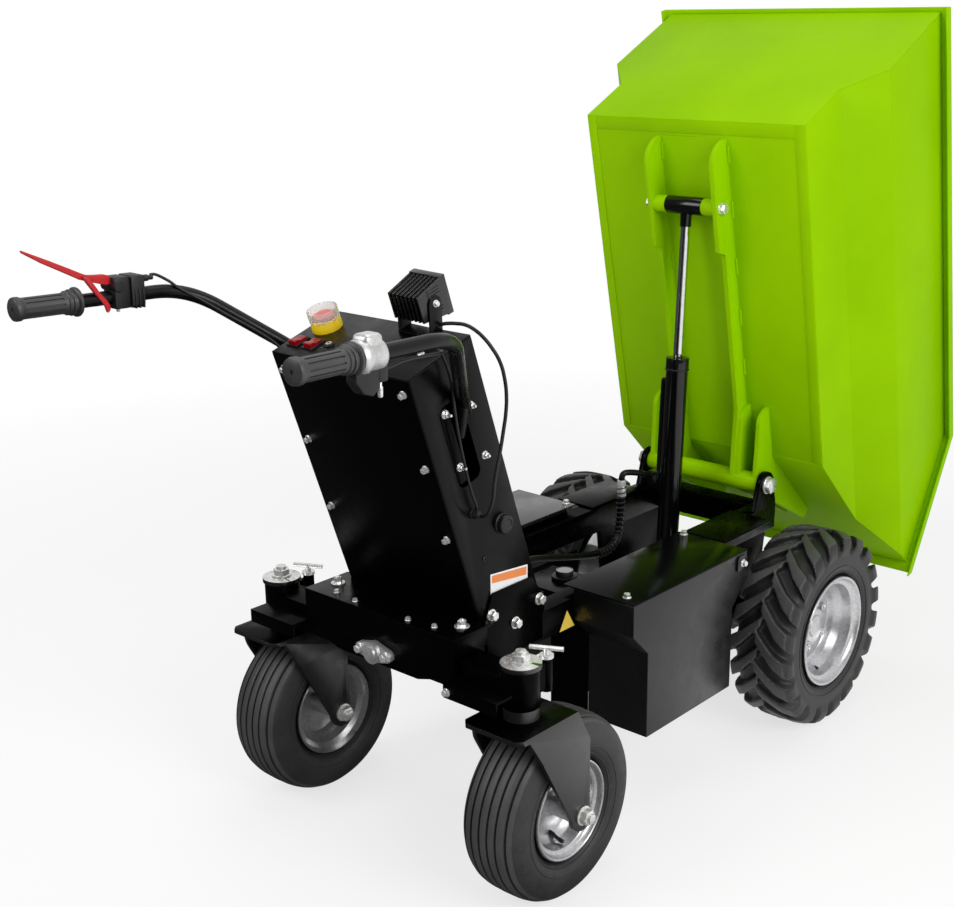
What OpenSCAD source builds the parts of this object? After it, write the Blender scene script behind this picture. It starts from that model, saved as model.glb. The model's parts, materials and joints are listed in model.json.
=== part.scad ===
// Walk-behind battery site dumper: tipping tub, two driven wheels, two swivelling casters.
// X points forwards to the tub, Y to the left and Z up, in millimetres.

/* [Drive wheels] */
// Diameter of a drive tyre over its lugs
drive_tyre_d = 410; // [396:1:424]
// Width of a drive tyre
drive_tyre_w = 140; // [128:1:148]
// Diameter of a drive rim's bead seat
drive_seat_d = 203; // [190:1:212]
// Diameter of a drive rim's flange
drive_flange_d = 232; // [222:1:244]
// Width of a drive rim over its flanges
drive_rim_w = 132; // [116:1:136]
// Distance between the middles of the drive tyres
drive_track = 586; // [570:1:640]
// Diameter of a half shaft
shaft_d = 30; // [24:1:36]
// Number of lugs in each of a drive tyre's two rows
lug_count = 20; // [16:1:22]
// Height of the lugs at the middle of the tread
lug_h = 16; // [12:0.5:18]
// Width of the lugs, measured round the tyre
lug_w = 30; // [24:1:32]

/* [Casters] */
// Diameter of a caster tyre
caster_tyre_d = 326; // [310:1:340]
// Width of a caster tyre
caster_tyre_w = 118; // [106:1:124]
// Diameter of a caster rim's bead seat
caster_seat_d = 152; // [142:1:158]
// Diameter of a caster rim's flange
caster_flange_d = 176; // [168:1:184]
// Width of a caster rim over its flanges
caster_rim_w = 104; // [90:1:106]
// Distance between the kingpins
caster_track = 578; // [560:1:620]
// Distance from a kingpin to its wheel's axle
caster_trail = 66; // [50:1:80]
// Distance from the drive axle back to the kingpins
wheelbase = 906; // [890:1:930]
// Diameter of a kingpin
kingpin_d = 24; // [18:1:30]
// Diameter of a caster's axle bolt
caster_bolt_d = 16; // [12:1:20]
// Thickness of a fork's plate
fork_t = 8; // [6:0.5:10]
// Room between a caster tyre and the fork above it
fork_room = 11; // [8:1:20]
// Room between a caster tyre and the fork beside it
fork_side_room = 8; // [6:0.5:12]
// Outer diameter of a kingpin tube
kingpin_tube_d = 63; // [54:1:70]
// Height of a kingpin tube
kingpin_tube_h = 66; // [60:1:76]

/* [Frame] */
// Width of a rail
rail_w = 40; // [30:1:44]
// Height of a rail
rail_h = 55; // [45:1:60]
// Clear width between the rails
rail_gap = 232; // [220:1:240]
// Height of the rails' undersides over the floor
rail_z = 365; // [360:1:370]
// Wall of a rail
rail_wall = 4; // [3:0.5:6]
// Reach of the rails in front of the drive axle
rail_front = 84; // [78:1:100]
// Height of the deck's top over the floor
deck_z = 457; // [452:1:462]
// Thickness of the deck plate
deck_t = 6; // [4:0.5:8]
// Width of the deck
deck_w = 358; // [340:1:370]
// Width of the rear axle beam, front to back
beam_w = 56; // [46:1:60]
// Height of the rear axle beam
beam_h = 52; // [46:1:56]
// Thickness of the plates that hold the rear axle's pivot
pivot_plate_t = 8; // [6:0.5:10]
// Diameter of the rear axle's pivot shaft
pivot_d = 25; // [20:1:30]

/* [Battery boxes] */
// Width of the machine over the battery boxes
boxes_w = 582; // [560:1:600]
// Sheet of the battery boxes
box_t = 3; // [2:0.5:5]
// Height of the lids over the floor
lid_z = 440; // [434:1:446]
// Thickness of a lid
lid_t = 3; // [2:0.5:5]
// Clear width between the lids
lid_gap = 264; // [250:1:300]
// Height of a box's underside over the floor
box_z = 167; // [140:1:190]
// Distance from the drive axle back to a box's front
box_front = 244; // [236:1:260]
// Length of a box at its lid
box_l = 365; // [350:1:375]
// Inset of a box's lower part at each end
box_step = 45; // [30:1:60]

/* [Column] */
// Lean of the column from upright
lean = 18.7; // [17.7:0.1:19.7]
// Width of the column
column_w = 312; // [300:1:320]
// Depth of the column
column_d = 147; // [140:1:150]
// Height of the column's upper rear edge over the floor
column_z = 894; // [880:1:910]
// Distance from the drive axle back to the column's upper rear edge
column_back = 1006; // [1002:1:1020]
// Sheet of the column
column_t = 3; // [2:0.5:4]

/* [Handlebars] */
// Diameter of a handlebar's tube
bar_d = 25; // [22:0.5:28]
// Diameter of a grip
grip_d = 34; // [30:0.5:40]
// Length of a grip
grip_l = 106; // [95:1:120]
// Distance between the grips' ends
grip_span = 632; // [600:1:660]
// Height of the grips' ends over the floor
grip_z = 994; // [980:1:1010]
// Distance from the drive axle back to the grips' ends
grip_back = 1358; // [1340:1:1380]

/* [Tub] */
// Length of the tub's floor
tub_l = 718; // [700:1:726]
// Width of the tub at its floor
tub_floor_w = 520; // [500:1:530]
// Width of the tub at its rim, inside the flange
tub_w = 656; // [640:1:670]
// Height of the tub's lower side walls
tub_low_h = 128; // [118:1:136]
// Height at which the tub reaches its full width
tub_knee_h = 206; // [196:1:216]
// Height of the tub's rim over its floor
tub_h = 432; // [420:1:436]
// Height of the front lip over the tub's floor
lip_h = 228; // [216:1:240]
// Reach of the front lip in front of the tub's floor
lip_reach = 336; // [320:1:350]
// Length of the rim's slope in front of the tub's floor
rim_level = 100; // [80:1:120]
// Lean of the rear wall from upright
rear_flare = 15.7; // [14.7:0.1:16.4]
// Sheet of the tub
tub_t = 3; // [2:0.5:4]
// Width of the rim's flange
flange_w = 20; // [14:1:24]
// Turned-down edge of the rim's flange
flange_lip = 18; // [10:1:24]

/* [Tipping gear] */
// Angle of the tub shown, from level
tip = 78.36; // [78.36:0.01:78.36]
// Distance from the drive axle forward to the tub's hinge
hinge_x = 45; // [40:1:50]
// Height of the tub's hinge over the floor
hinge_z = 470; // [468:1:476]
// Distance of the hinge in front of the tub's floor
hinge_ahead = 38; // [34:1:42]
// Distance of the hinge below the tub's floor
hinge_below = 56; // [50:1:60]
// Diameter of the hinge pin
hinge_d = 20; // [16:1:24]
// Thickness of the hinge ears on the frame
ear_t = 12; // [8:0.5:14]
// Distance from the drive axle back to the cylinder's lower pin
cylinder_back = 98; // [94:1:102]
// Height of the cylinder's lower pin over the floor
cylinder_z = 300; // [296:1:304]
// Distance of the rod's eye from the tub's front edge, along the floor
eye_u = 555; // [550:1:560]
// Distance of the rod's eye below the tub's floor
eye_below = 38; // [34:1:42]
// Diameter of the cylinder's barrel
barrel_d = 46; // [42:1:54]
// Length of the barrel from its lower pin
barrel_l = 445; // [430:1:447]
// Diameter of the rod
rod_d = 20; // [18:1:26]
// Diameter of the cylinder's lower pin
cylinder_pin_d = 20; // [16:1:24]
// Thickness of the plates under the tub
bracket_t = 10; // [8:0.5:12]
// Distance between the middles of the tub's two long plates
bracket_gap = 156; // [150:1:164]

/* [Hidden] */
$fn = 64;
// Radial clearance of a shaft that turns in its bore
run_gap = 0.05;
// Clearance between faces that turn against each other
face_gap = 0.3;

// Heights and places that follow from the sizes above
axle_z = drive_tyre_d / 2;
wheel_y = drive_track / 2;
caster_z = caster_tyre_d / 2;
kingpin_x = -wheelbase;
kingpin_y = caster_track / 2;
fork_z = caster_tyre_d + fork_room;
collar_h = 20;
tube_z = fork_z + fork_t + collar_h + face_gap;
fork_in = caster_tyre_w / 2 + fork_side_room;
fork_out = fork_in + fork_t;
rail_in = rail_gap / 2;
rail_out = rail_in + rail_w;
rail_top = rail_z + rail_h;
rail_back = kingpin_x + beam_w / 2 + 20;
box_out = boxes_w / 2;
pivot_z = tube_z + 23;
ear_in = rail_out - ear_t;
bracket_y = bracket_gap / 2;
rear_u = tub_l + tub_h * tan(rear_flare);
// Place of a tub point that lies u along the floor and h over it, with the tub tipped
function tub_x(u, h) = hinge_x + (-hinge_ahead - u) * cos(tip) + (hinge_below + h) * sin(tip);
function tub_z(u, h) = hinge_z + (hinge_ahead + u) * sin(tip) + (hinge_below + h) * cos(tip);
eye_x = tub_x(eye_u, -eye_below);
eye_z = tub_z(eye_u, -eye_below);
cylinder_lean = atan2(eye_x + cylinder_back, eye_z - cylinder_z);
cylinder_l = norm([eye_x + cylinder_back, eye_z - cylinder_z]);
// Shift that puts the origin under the middle of the machine's length
origin_x = (grip_back - tub_x(-rim_level, tub_h)) / 2;

// Shared shapes

module place() translate([origin_x, 0, 0]) children();
module both_sides() { children(); mirror([0, 1, 0]) children(); }
// An outline drawn in X and Z, made into a plate between two places along Y
module plate_y(from, to, points)
    translate([0, to, 0]) rotate([90, 0, 0]) linear_extrude(to - from) polygon(points);
// An outline drawn in Y and Z, made into a plate between two places along X
module plate_x(from, to, points)
    translate([from, 0, 0]) rotate([90, 0, 90]) linear_extrude(to - from) polygon(points);
// An outline drawn in X and Y, made into a plate between two heights
module plate_z(from, to, points) translate([0, 0, from]) linear_extrude(to - from) polygon(points);
module bar_y(x, z, from, to, d) translate([x, to, z]) rotate([90, 0, 0]) cylinder(h = to - from, d = d);
module bar_x(y, z, from, to, d) translate([from, y, z]) rotate([0, 90, 0]) cylinder(h = to - from, d = d);
module bar_z(x, y, from, to, d) translate([x, y, from]) cylinder(h = to - from, d = d);
module hex_y(x, z, from, to, across)
    translate([x, to, z]) rotate([90, 0, 0]) cylinder(h = to - from, d = across / cos(30), $fn = 6);
module block(low, high) translate(low) cube(high - low);
function box_outline(a, b, c, d) = [[a, b], [c, b], [c, d], [a, d]];

// A round tube swept along a list of points
function unit(v) = v / norm(v);
function way(p, i) =
    i == 0 ? unit(p[1] - p[0]) :
    i == len(p) - 1 ? unit(p[i] - p[i - 1]) :
    unit(unit(p[i + 1] - p[i]) + unit(p[i] - p[i - 1]));
function side_of(t) = unit(cross(t, abs(t[2]) < 0.9 ? [0, 0, 1] : [1, 0, 0]));
function frames(p, i = 0, last = [0, 0, 0]) =
    let (t = way(p, i), n = i == 0 ? side_of(t) : unit(last - (last * t) * t))
    i == len(p) - 1 ? [[n, cross(t, n)]] : concat([[n, cross(t, n)]], frames(p, i + 1, n));
module sweep(path, d, sides = 12) {
    f = frames(path);
    count = len(path);
    points = [for (i = [0 : count - 1]) for (k = [0 : sides - 1])
        path[i] + d / 2 * (cos(360 * k / sides) * f[i][0] + sin(360 * k / sides) * f[i][1])];
    walls = [for (i = [0 : count - 2]) for (k = [0 : sides - 1])
        let (a = i * sides + k, b = i * sides + (k + 1) % sides) [a, a + sides, b + sides, b]];
    start_cap = [[for (k = [0 : sides - 1]) k]];
    end_cap = [[for (k = [sides - 1 : -1 : 0]) (count - 1) * sides + k]];
    polyhedron(points = points, faces = concat(start_cap, walls, end_cap), convexity = 8);
}
// A route with each inner corner rounded over a length r, in n steps
function rounded(p, r, n = 6) = concat([p[0]], [for (i = [1 : len(p) - 2]) for (s = [0 : n])
    let (a = p[i] + r * unit(p[i - 1] - p[i]), b = p[i] + r * unit(p[i + 1] - p[i]), t = s / n)
    (1 - t) * (1 - t) * a + 2 * t * (1 - t) * p[i] + t * t * b], [p[len(p) - 1]]);

// Tyres and rims, made round Y at their own middle

sidewall_t = 11;
// How the tread's section rounds over from its middle to the sidewall
crown_power = 0.75;
shoulder_power = 0.55;
shoulder_inset = 4;
bead_w = 16;
rim_t = 4;
seat_edge = 36;
// How deep a rim's flange flares
flange_flare = 14;
function tyre_side(tread_r, half_w, seat_r, flange_r, bead_y, steps = 7) =
    let (mid_r = (tread_r + flange_r) / 2 - shoulder_inset)
    concat([[seat_r, bead_y], [flange_r + 1, bead_y]],
        [for (i = [1 : steps]) let (a = 90 * i / steps)
            [flange_r + 1 + (mid_r - flange_r - 1) * (1 - cos(a)), bead_y + (half_w - bead_y) * sin(a)]],
        [for (i = [1 : steps]) let (a = 90 * i / steps)
            [mid_r + (tread_r - mid_r) * pow(sin(a), crown_power), half_w * pow(cos(a), shoulder_power)]]);
function mirrored(points) = [for (i = [len(points) - 1 : -1 : 0]) [points[i][0], -points[i][1]]];
function without_last(points) = [for (i = [0 : len(points) - 2]) points[i]];
function loop_of(half) = concat(without_last(half), mirrored(half));
module ring_of(half) rotate([90, 0, 0]) rotate_extrude($fn = 96) polygon(loop_of(half));
module tyre_form(tread_d, w, seat_d, flange_d, rim_w)
    ring_of(tyre_side(tread_d / 2, w / 2, seat_d / 2, flange_d / 2, rim_w / 2 - rim_t - flange_flare));
module tyre_hollow(tread_d, w, seat_d, flange_d, rim_w) ring_of(tyre_side(tread_d / 2 - sidewall_t,
    w / 2 - sidewall_t, seat_d / 2 - 1, flange_d / 2, rim_w / 2 - rim_t - flange_flare - bead_w));
module rim_barrel(seat_d, flange_d, rim_w, drop) {
    seat_r = seat_d / 2;
    half = rim_w / 2;
    edge = half - seat_edge;
    well = edge - drop;
    upper = [[flange_d / 2, half], [flange_d / 2, half - rim_t], [seat_r, half - rim_t - flange_flare],
        [seat_r, edge], [seat_r - drop, well]];
    lower = [[seat_r - drop - rim_t, well], [seat_r - rim_t, edge], [seat_r - rim_t, half - flange_flare],
        [flange_d / 2 - rim_t, half]];
    rotate([90, 0, 0]) rotate_extrude($fn = 96)
        polygon(concat(upper, mirrored(upper), mirrored(lower), lower));
}

// Drive wheels, drawn round Y at the left wheel's middle with the outer side towards +Y

drive_drop = 14;
disc_t = 6;
disc_y = 4;
hub_d = 74;
tube_room = 12;
tube_end = wheel_y - drive_rim_w / 2 - tube_room;
shaft_l = 60;
hub_bolt_circle = 100;
tread_r = drive_tyre_d / 2;
tread_half = drive_tyre_w / 2;
carcass_d = drive_tyre_d - 2 * lug_h;
carcass_w = drive_tyre_w - 8;
lug_nose = lug_w * 0.7;
// A lug seen from outside: X runs round the tyre and Y from the middle of the tread to its shoulder
lug_outline = [[48, -4], [10, 36], [-12, tread_half + 1], [-12 - lug_w - 6, tread_half + 1],
    [10 - lug_w, 36], [48 - lug_nose, -4]];
// Half section of the ring that the lugs fill, from the sidewall over the shoulder to the middle
lug_section = [[tread_r - 48, tread_half - 6], [tread_r - 30, tread_half], [tread_r - 17, tread_half - 2],
    [tread_r - 6, tread_half - 9], [tread_r - 1.5, tread_half - 28], [tread_r, 0]];
module lug_row() for (i = [1 : lug_count]) rotate([0, 360 * i / lug_count, 0])
    translate([0, 0, tread_r - 50]) linear_extrude(60) polygon(lug_outline);
module drive_tyre() color("#1b1b1b") difference() {
    union() {
        tyre_form(carcass_d, carcass_w, drive_seat_d, drive_flange_d, drive_rim_w);
        intersection() {
            union() {
                lug_row();
                rotate([0, 180 / lug_count, 0]) mirror([0, 1, 0]) lug_row();
            }
            ring_of(lug_section);
        }
    }
    tyre_hollow(carcass_d, carcass_w, drive_seat_d, drive_flange_d, drive_rim_w);
}
module drive_rim() color("#c8cbcd") {
    rim_barrel(drive_seat_d, drive_flange_d, drive_rim_w, drive_drop);
    bar_y(0, 0, disc_y - disc_t, disc_y, drive_seat_d - 2 * drive_drop - rim_t);
    bar_y(0, 0, tube_end + face_gap - wheel_y, disc_y + 16, hub_d);
    bar_y(0, 0, tube_end - shaft_l - wheel_y, disc_y, shaft_d);
    for (i = [0 : 4]) rotate([0, 72 * i, 0]) hex_y(hub_bolt_circle / 2, 0, 0, disc_y + 10, 17);
}
module left_wheel() translate([0, wheel_y, axle_z]) children();
module drive_tyre_left() left_wheel() drive_tyre();
module drive_tyre_right() mirror([0, 1, 0]) left_wheel() drive_tyre();
module drive_rim_left() left_wheel() drive_rim();
module drive_rim_right() mirror([0, 1, 0]) left_wheel() drive_rim();

// Casters, drawn at the left one's place

caster_drop = 9;
hub_tube_d = 38;
groove_w = 4;
groove_depth = 5;
rib_pitch = 17;
fork_back = 76;
fork_front = 84;
fork_tip_r = 28;
fork_shoulder = 14;
fork_drop = 48;
fork_corner = 24;
fork_fold = 1;
fork_top = fork_z + fork_t;
tube_top = tube_z + kingpin_tube_h;
cap_disc_t = 8;
cap_disc_d = kingpin_tube_d + 6;
nut_h = 14;
cap_disc_z = tube_top + face_gap;
// Radius of a caster tyre's tread at a distance from its middle
function crown_r(y) = let (mid_r = (caster_tyre_d + caster_flange_d) / 4 - shoulder_inset,
    a = acos(pow(abs(y) * 2 / caster_tyre_w, 1 / shoulder_power)))
    mid_r + (caster_tyre_d / 2 - mid_r) * pow(sin(a), crown_power);
module left_caster() translate([kingpin_x, kingpin_y, 0]) children();
module caster_axle() translate([caster_trail, 0, caster_z]) children();
module caster_tyre() color("#1d1d1d") caster_axle() difference() {
    tyre_form(caster_tyre_d, caster_tyre_w, caster_seat_d, caster_flange_d, caster_rim_w);
    tyre_hollow(caster_tyre_d, caster_tyre_w, caster_seat_d, caster_flange_d, caster_rim_w);
    for (i = [-2.5 : 1 : 2.5]) rotate([90, 0, 0]) rotate_extrude($fn = 96)
        translate([crown_r(i * rib_pitch) - groove_depth, i * rib_pitch - groove_w / 2])
            square([groove_depth + rib_pitch / 2, groove_w]);
}
module caster_rim() color("#c8cbcd") caster_axle() difference() {
    union() {
        rim_barrel(caster_seat_d, caster_flange_d, caster_rim_w, caster_drop);
        bar_y(0, 0, -disc_t / 2, disc_t / 2, caster_seat_d - 2 * caster_drop - rim_t);
        bar_y(0, 0, face_gap - fork_in, fork_in - face_gap, hub_tube_d);
    }
    bar_y(0, 0, -fork_out, fork_out, caster_bolt_d + 2 * run_gap);
}
module caster_fork() color("#141414") difference() {
    union() {
        intersection() {
            plate_x(-fork_back, fork_front, [
                [-fork_out, 0], [-fork_out, fork_top - fork_drop], [-fork_out + fork_shoulder, fork_top],
                [fork_out - fork_shoulder, fork_top], [fork_out, fork_top - fork_drop], [fork_out, 0],
                [fork_in, 0], [fork_in, fork_top - fork_drop - fork_fold],
                [fork_in - fork_shoulder + fork_fold, fork_z], [-fork_in + fork_shoulder - fork_fold, fork_z],
                [-fork_in, fork_top - fork_drop - fork_fold], [-fork_in, 0]]);
            union() {
                plate_y(-fork_out, fork_out, [[-fork_back, fork_top], [fork_front - fork_shoulder, fork_top],
                    [fork_front, fork_top - fork_drop], [caster_trail + fork_tip_r, caster_z],
                    [caster_trail - fork_tip_r, caster_z], [-fork_back * 0.4, fork_top - fork_drop - fork_t],
                    [-fork_back + fork_corner, fork_z], [-fork_back, fork_z]]);
                bar_y(caster_trail, caster_z, -fork_out, fork_out, 2 * fork_tip_r);
            }
            plate_z(0, fork_top, [
                [-fork_back, fork_corner - fork_out], [-fork_back, fork_out - fork_corner],
                [-fork_back + fork_corner, fork_out], [fork_front, fork_out], [fork_front, -fork_out],
                [-fork_back + fork_corner, -fork_out]]);
        }
        bar_z(0, 0, fork_top, tube_z - face_gap, kingpin_tube_d - 4);
    }
    bar_z(0, 0, fork_z - 1, tube_z, kingpin_d);
    bar_y(caster_trail, caster_z, -fork_out - 1, fork_out + 1, caster_bolt_d);
}
module caster_bolts() color("#b9bcbf") {
    bar_z(0, 0, fork_z - 8, fork_z, kingpin_d + 12);
    bar_z(0, 0, fork_z - 1, cap_disc_z + cap_disc_t + nut_h + 6, kingpin_d - 6);
    bar_z(0, 0, fork_z - 1, cap_disc_z + 1, kingpin_d);
    bar_z(0, 0, cap_disc_z, cap_disc_z + cap_disc_t, cap_disc_d);
    bar_z(0, 0, cap_disc_z, cap_disc_z + cap_disc_t + 4, kingpin_d + 12);
    translate([0, 0, cap_disc_z + cap_disc_t])
        cylinder(h = nut_h, d = (kingpin_d + 2) / cos(30), $fn = 6);
    caster_axle() {
        bar_y(0, 0, -fork_out - 21, fork_out + 21, caster_bolt_d);
        for (s = [0, 1]) mirror([0, s, 0]) {
            bar_y(0, 0, fork_out, fork_out + 3, caster_bolt_d + 18);
            hex_y(0, 0, fork_out + 3, fork_out + 15, caster_bolt_d + 8);
        }
    }
}
module caster_fork_left() left_caster() caster_fork();
module caster_fork_right() mirror([0, 1, 0]) left_caster() caster_fork();
module caster_bolts_left() left_caster() caster_bolts();
module caster_bolts_right() mirror([0, 1, 0]) left_caster() caster_bolts();
module caster_tyre_left() left_caster() caster_tyre();
module caster_tyre_right() mirror([0, 1, 0]) left_caster() caster_tyre();
module caster_rim_left() left_caster() caster_rim();
module caster_rim_right() mirror([0, 1, 0]) left_caster() caster_rim();

// Frame under the tub

axle_tube_d = 60;
axle_hold = axle_tube_d * 0.7;
axle_plate_t = 10;
axle_plate_y = rail_in + (rail_w - axle_plate_t) / 2;
ear_r = 28;
ear_foot = 44;
guard_back = 205;
guard_front = 12;
guard_t = 6;
guard_room = 10;
mount_z = cylinder_z - 50;
mount_t = 12;
mount_half = 42;
mount_front = 34;
module frame_rails() color("#151515") both_sides() difference() {
    union() {
        difference() {
            block([rail_back, rail_in, rail_z], [rail_front, rail_out, rail_top]);
            block([rail_back - 1, rail_in + rail_wall, rail_z + rail_wall],
                [rail_front + 1, rail_out - rail_wall, rail_top - rail_wall]);
        }
        plate_y(axle_plate_y, axle_plate_y + axle_plate_t, [
            [-cylinder_back - 64, rail_z], [rail_front - 12, rail_z], [axle_hold, axle_z - axle_hold],
            [-axle_hold, axle_z - axle_hold], [-cylinder_back - mount_half - 8, mount_z - 6]]);
        plate_y(ear_in, rail_out, [[hinge_x - ear_foot, rail_top], [rail_front, rail_top],
            [hinge_x + ear_r * 0.95, hinge_z + ear_r * 0.3], [hinge_x - ear_r * 0.95, hinge_z + ear_r * 0.3]]);
        bar_y(hinge_x, hinge_z, ear_in, rail_out, 2 * ear_r);
        block([-guard_back, rail_in, rail_top],
            [guard_front - ear_foot, wheel_y - drive_tyre_w / 2 - guard_room, rail_top + guard_t]);
    }
    bar_y(0, axle_z, 0, rail_out, axle_tube_d);
    bar_y(hinge_x, hinge_z, 0, rail_out + 1, hinge_d);
}
module cross_members() color("#151515") {
    block([hinge_x - 10, -rail_in, rail_z], [rail_front - 4, rail_in, rail_top]);
    block([rail_back, -rail_in, rail_z + 5], [rail_back + 36, rail_in, rail_top]);
}
module hinge_pin() color("#b9bcbf") {
    bar_y(hinge_x, hinge_z, -rail_out, rail_out, hinge_d);
    both_sides() {
        bar_y(hinge_x, hinge_z, rail_out, rail_out + 3, hinge_d + 18);
        hex_y(hinge_x, hinge_z, rail_out + 3, rail_out + 14, hinge_d + 10);
    }
}
gear_case_d = 150;
gear_case_w = 130;
motor_d = 100;
motor_drop = 15;
motor_l = 135;
motor_back = gear_case_d / 2 + 5;
module drive_axle() color("#1c1c1c") difference() {
    union() {
        bar_y(0, axle_z, -tube_end, tube_end, axle_tube_d);
        bar_y(0, axle_z, -gear_case_w / 2, gear_case_w / 2, gear_case_d);
        bar_y(0, axle_z, -gear_case_w / 2 - 14, gear_case_w / 2 + 14, gear_case_d - 40);
        bar_x(0, axle_z - motor_drop, -motor_back, 0, motor_d - 10);
    }
    both_sides() bar_y(0, axle_z, tube_end - shaft_l - 10, tube_end + 1, shaft_d + 2 * run_gap);
}
module drive_motor() color("#202224") {
    bar_x(0, axle_z - motor_drop, -motor_back - motor_l, -motor_back, motor_d);
    bar_x(0, axle_z - motor_drop, -motor_back - motor_l - 18, -motor_back - motor_l, motor_d - 24);
}

// Battery boxes, their lids and what they hold

knee_z = lid_z - 62;
function box_profile(inset, top) = let (
    back = -box_front - box_l + inset, front = -box_front - inset, turn = inset * tan(22.5))
    [[back, top], [back, knee_z + turn], [back + box_step, knee_z - box_step + turn],
    [back + box_step, box_z + inset], [front - box_step, box_z + inset],
    [front - box_step, knee_z - box_step + turn], [front, knee_z + turn], [front, top]];
battery_room = 12;
module battery_boxes() color("#161616") both_sides() difference() {
    plate_y(rail_out, box_out, box_profile(0, lid_z - lid_t));
    plate_y(rail_out + box_t, box_out - box_t, box_profile(box_t, lid_z));
}
module battery_lids() color("#171717") both_sides()
    block([-box_front - box_l, lid_gap / 2, lid_z - lid_t], [-box_front, box_out, lid_z]);
module batteries() color("#3a3d40") both_sides()
    block([-box_front - box_l + box_step + battery_room, rail_out + box_t + battery_room, box_z + box_t],
        [-box_front - box_step - battery_room, box_out - box_t - battery_room, knee_z - box_step]);

// Hydraulic pump unit between the rails, and its hose

tray_t = 4;
tray_back = 700;
tray_front = 455;
tank_h = 28;
cap_d = 50;
pump_d = 84;
pump_y = 34;
valve_x = -545;
hose_d = 15;
hose_route = [[-516, 64, 398], [-470, 64, 398], [-400, 70, 380], [-320, 70, 360], [-250, 70, 345],
    [-205, 70, 345], [-180, 70, 365], [-172, 70, 400], [-169, 70, 440], [-167, 70, 474]];
module hydraulic_unit() color("#1a1b1c") {
    block([-tray_back, -rail_out + 10, rail_z - tray_t], [-tray_front, rail_out - 10, rail_z]);
    block([-tray_front - 105, 12 - rail_in, rail_z], [-tray_front, 20, rail_z + tank_h]);
    bar_z(-tray_front - 49, -50, rail_z + tank_h, rail_z + tank_h + 12, cap_d);
    block([valve_x - 30, pump_y - 4, rail_z], [valve_x + 29, pump_y + 56, rail_z + 65]);
    bar_x(pump_y, rail_z + 8 + pump_d / 2, -tray_back + 14, valve_x - 30, pump_d);
    block([-tray_back + 20, pump_y - 26, rail_z], [valve_x - 50, pump_y + 26, rail_z + 24]);
}
module hydraulic_hose() color("#101010") {
    sweep(rounded(hose_route, 12, 2), hose_d, 10);
}

// Rear deck, the pivot and the rear axle

deck_back = kingpin_x - 39;
deck_front = -column_back + 316;
bracket_back = rail_back + 14;
column_y = column_w / 2;
plate_back = deck_back + pivot_plate_t;
plate_low_z = pivot_z - 24;
pivot_plate_rise = 24;
pivot_plate_flat = 96;
skirt_h = 34;
skirt_front = bracket_back - 18;
module pivot_hole() bar_x(0, pivot_z, deck_back - 1, rail_back + 1, pivot_d);
module rear_deck() color("#151515") difference() {
    union() {
        block([deck_back, -deck_w / 2, deck_z - deck_t], [bracket_back, deck_w / 2, deck_z]);
        block([deck_back, -column_y, deck_z - deck_t], [deck_front, column_y, deck_z]);
        plate_x(deck_back, plate_back, [
            [-deck_w / 2, deck_z - deck_t], [-deck_w / 2, plate_low_z + pivot_plate_rise],
            [-pivot_plate_flat, plate_low_z], [pivot_plate_flat, plate_low_z],
            [deck_w / 2, plate_low_z + pivot_plate_rise], [deck_w / 2, deck_z - deck_t]]);
        both_sides()
            block([deck_back, deck_w / 2 - deck_t, deck_z - skirt_h], [skirt_front, deck_w / 2, deck_z]);
        block([rail_back - pivot_plate_t, -rail_out, rail_z - 15], [rail_back, rail_out, deck_z - deck_t]);
        both_sides() block([rail_back, rail_out - 6, rail_top], [deck_front, rail_out, deck_z - deck_t]);
    }
    pivot_hole();
}
bearing_half = 31;
bearing_t = 10;
bearing_lobe_d = 22;
bearing_hub_d = 38;
module pivot_bearing() color("#c4c7c9") {
    bar_x(0, pivot_z, deck_back - bearing_t - 6, deck_back, bearing_hub_d);
    plate_x(deck_back - bearing_t, deck_back, [[-bearing_half, pivot_z - bearing_lobe_d / 2],
        [0, pivot_z - bearing_hub_d / 2], [bearing_half, pivot_z - bearing_lobe_d / 2],
        [bearing_half, pivot_z + bearing_lobe_d / 2], [0, pivot_z + bearing_hub_d / 2],
        [-bearing_half, pivot_z + bearing_lobe_d / 2]]);
    both_sides() bar_x(bearing_half, pivot_z, deck_back - bearing_t, deck_back, bearing_lobe_d);
    bar_x(0, pivot_z, deck_back - bearing_t - 10, rail_back, pivot_d);
}
beam_back = kingpin_x - beam_w / 2;
web_t = 10;
lock_ahead = 63;
lock_tube_d = 20;
lock_pin_d = 10;
handle_l = 56;
handle_d = 8;
handle_turn = 27;
// Angle irons behind the beam's ends
angle_in = deck_w / 2 + 4;
angle_out = kingpin_y + 8;
angle_w = 41;
angle_h = 24;
angle_t = 5;
angle_top = tube_z + 29;
lock_top = tube_z + kingpin_tube_h - 6;
module rear_axle() color("#161616") difference() {
    union() {
        block([beam_back, -kingpin_y, tube_z], [beam_back + beam_w, kingpin_y, tube_z + beam_h]);
        both_sides() {
            bar_z(kingpin_x, kingpin_y, tube_z, tube_top, kingpin_tube_d);
            block([kingpin_x, kingpin_y - web_t / 2, tube_z + 6],
                [kingpin_x + lock_ahead, kingpin_y + web_t / 2, lock_top - 6]);
            bar_z(kingpin_x + lock_ahead, kingpin_y, tube_z + 2, lock_top, lock_tube_d);
            block([beam_back - angle_w, angle_in, angle_top - angle_t], [beam_back, angle_out, angle_top]);
            block([beam_back - angle_w, angle_in, angle_top - angle_h],
                [beam_back - angle_w + angle_t, angle_out, angle_top]);
        }
    }
    pivot_hole();
    both_sides() {
        bar_z(kingpin_x, kingpin_y, tube_z - 1, tube_top + 1, kingpin_d + 2 * run_gap);
        bar_z(kingpin_x + lock_ahead, kingpin_y, tube_z - 1, lock_top + 1, lock_pin_d);
    }
}
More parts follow.
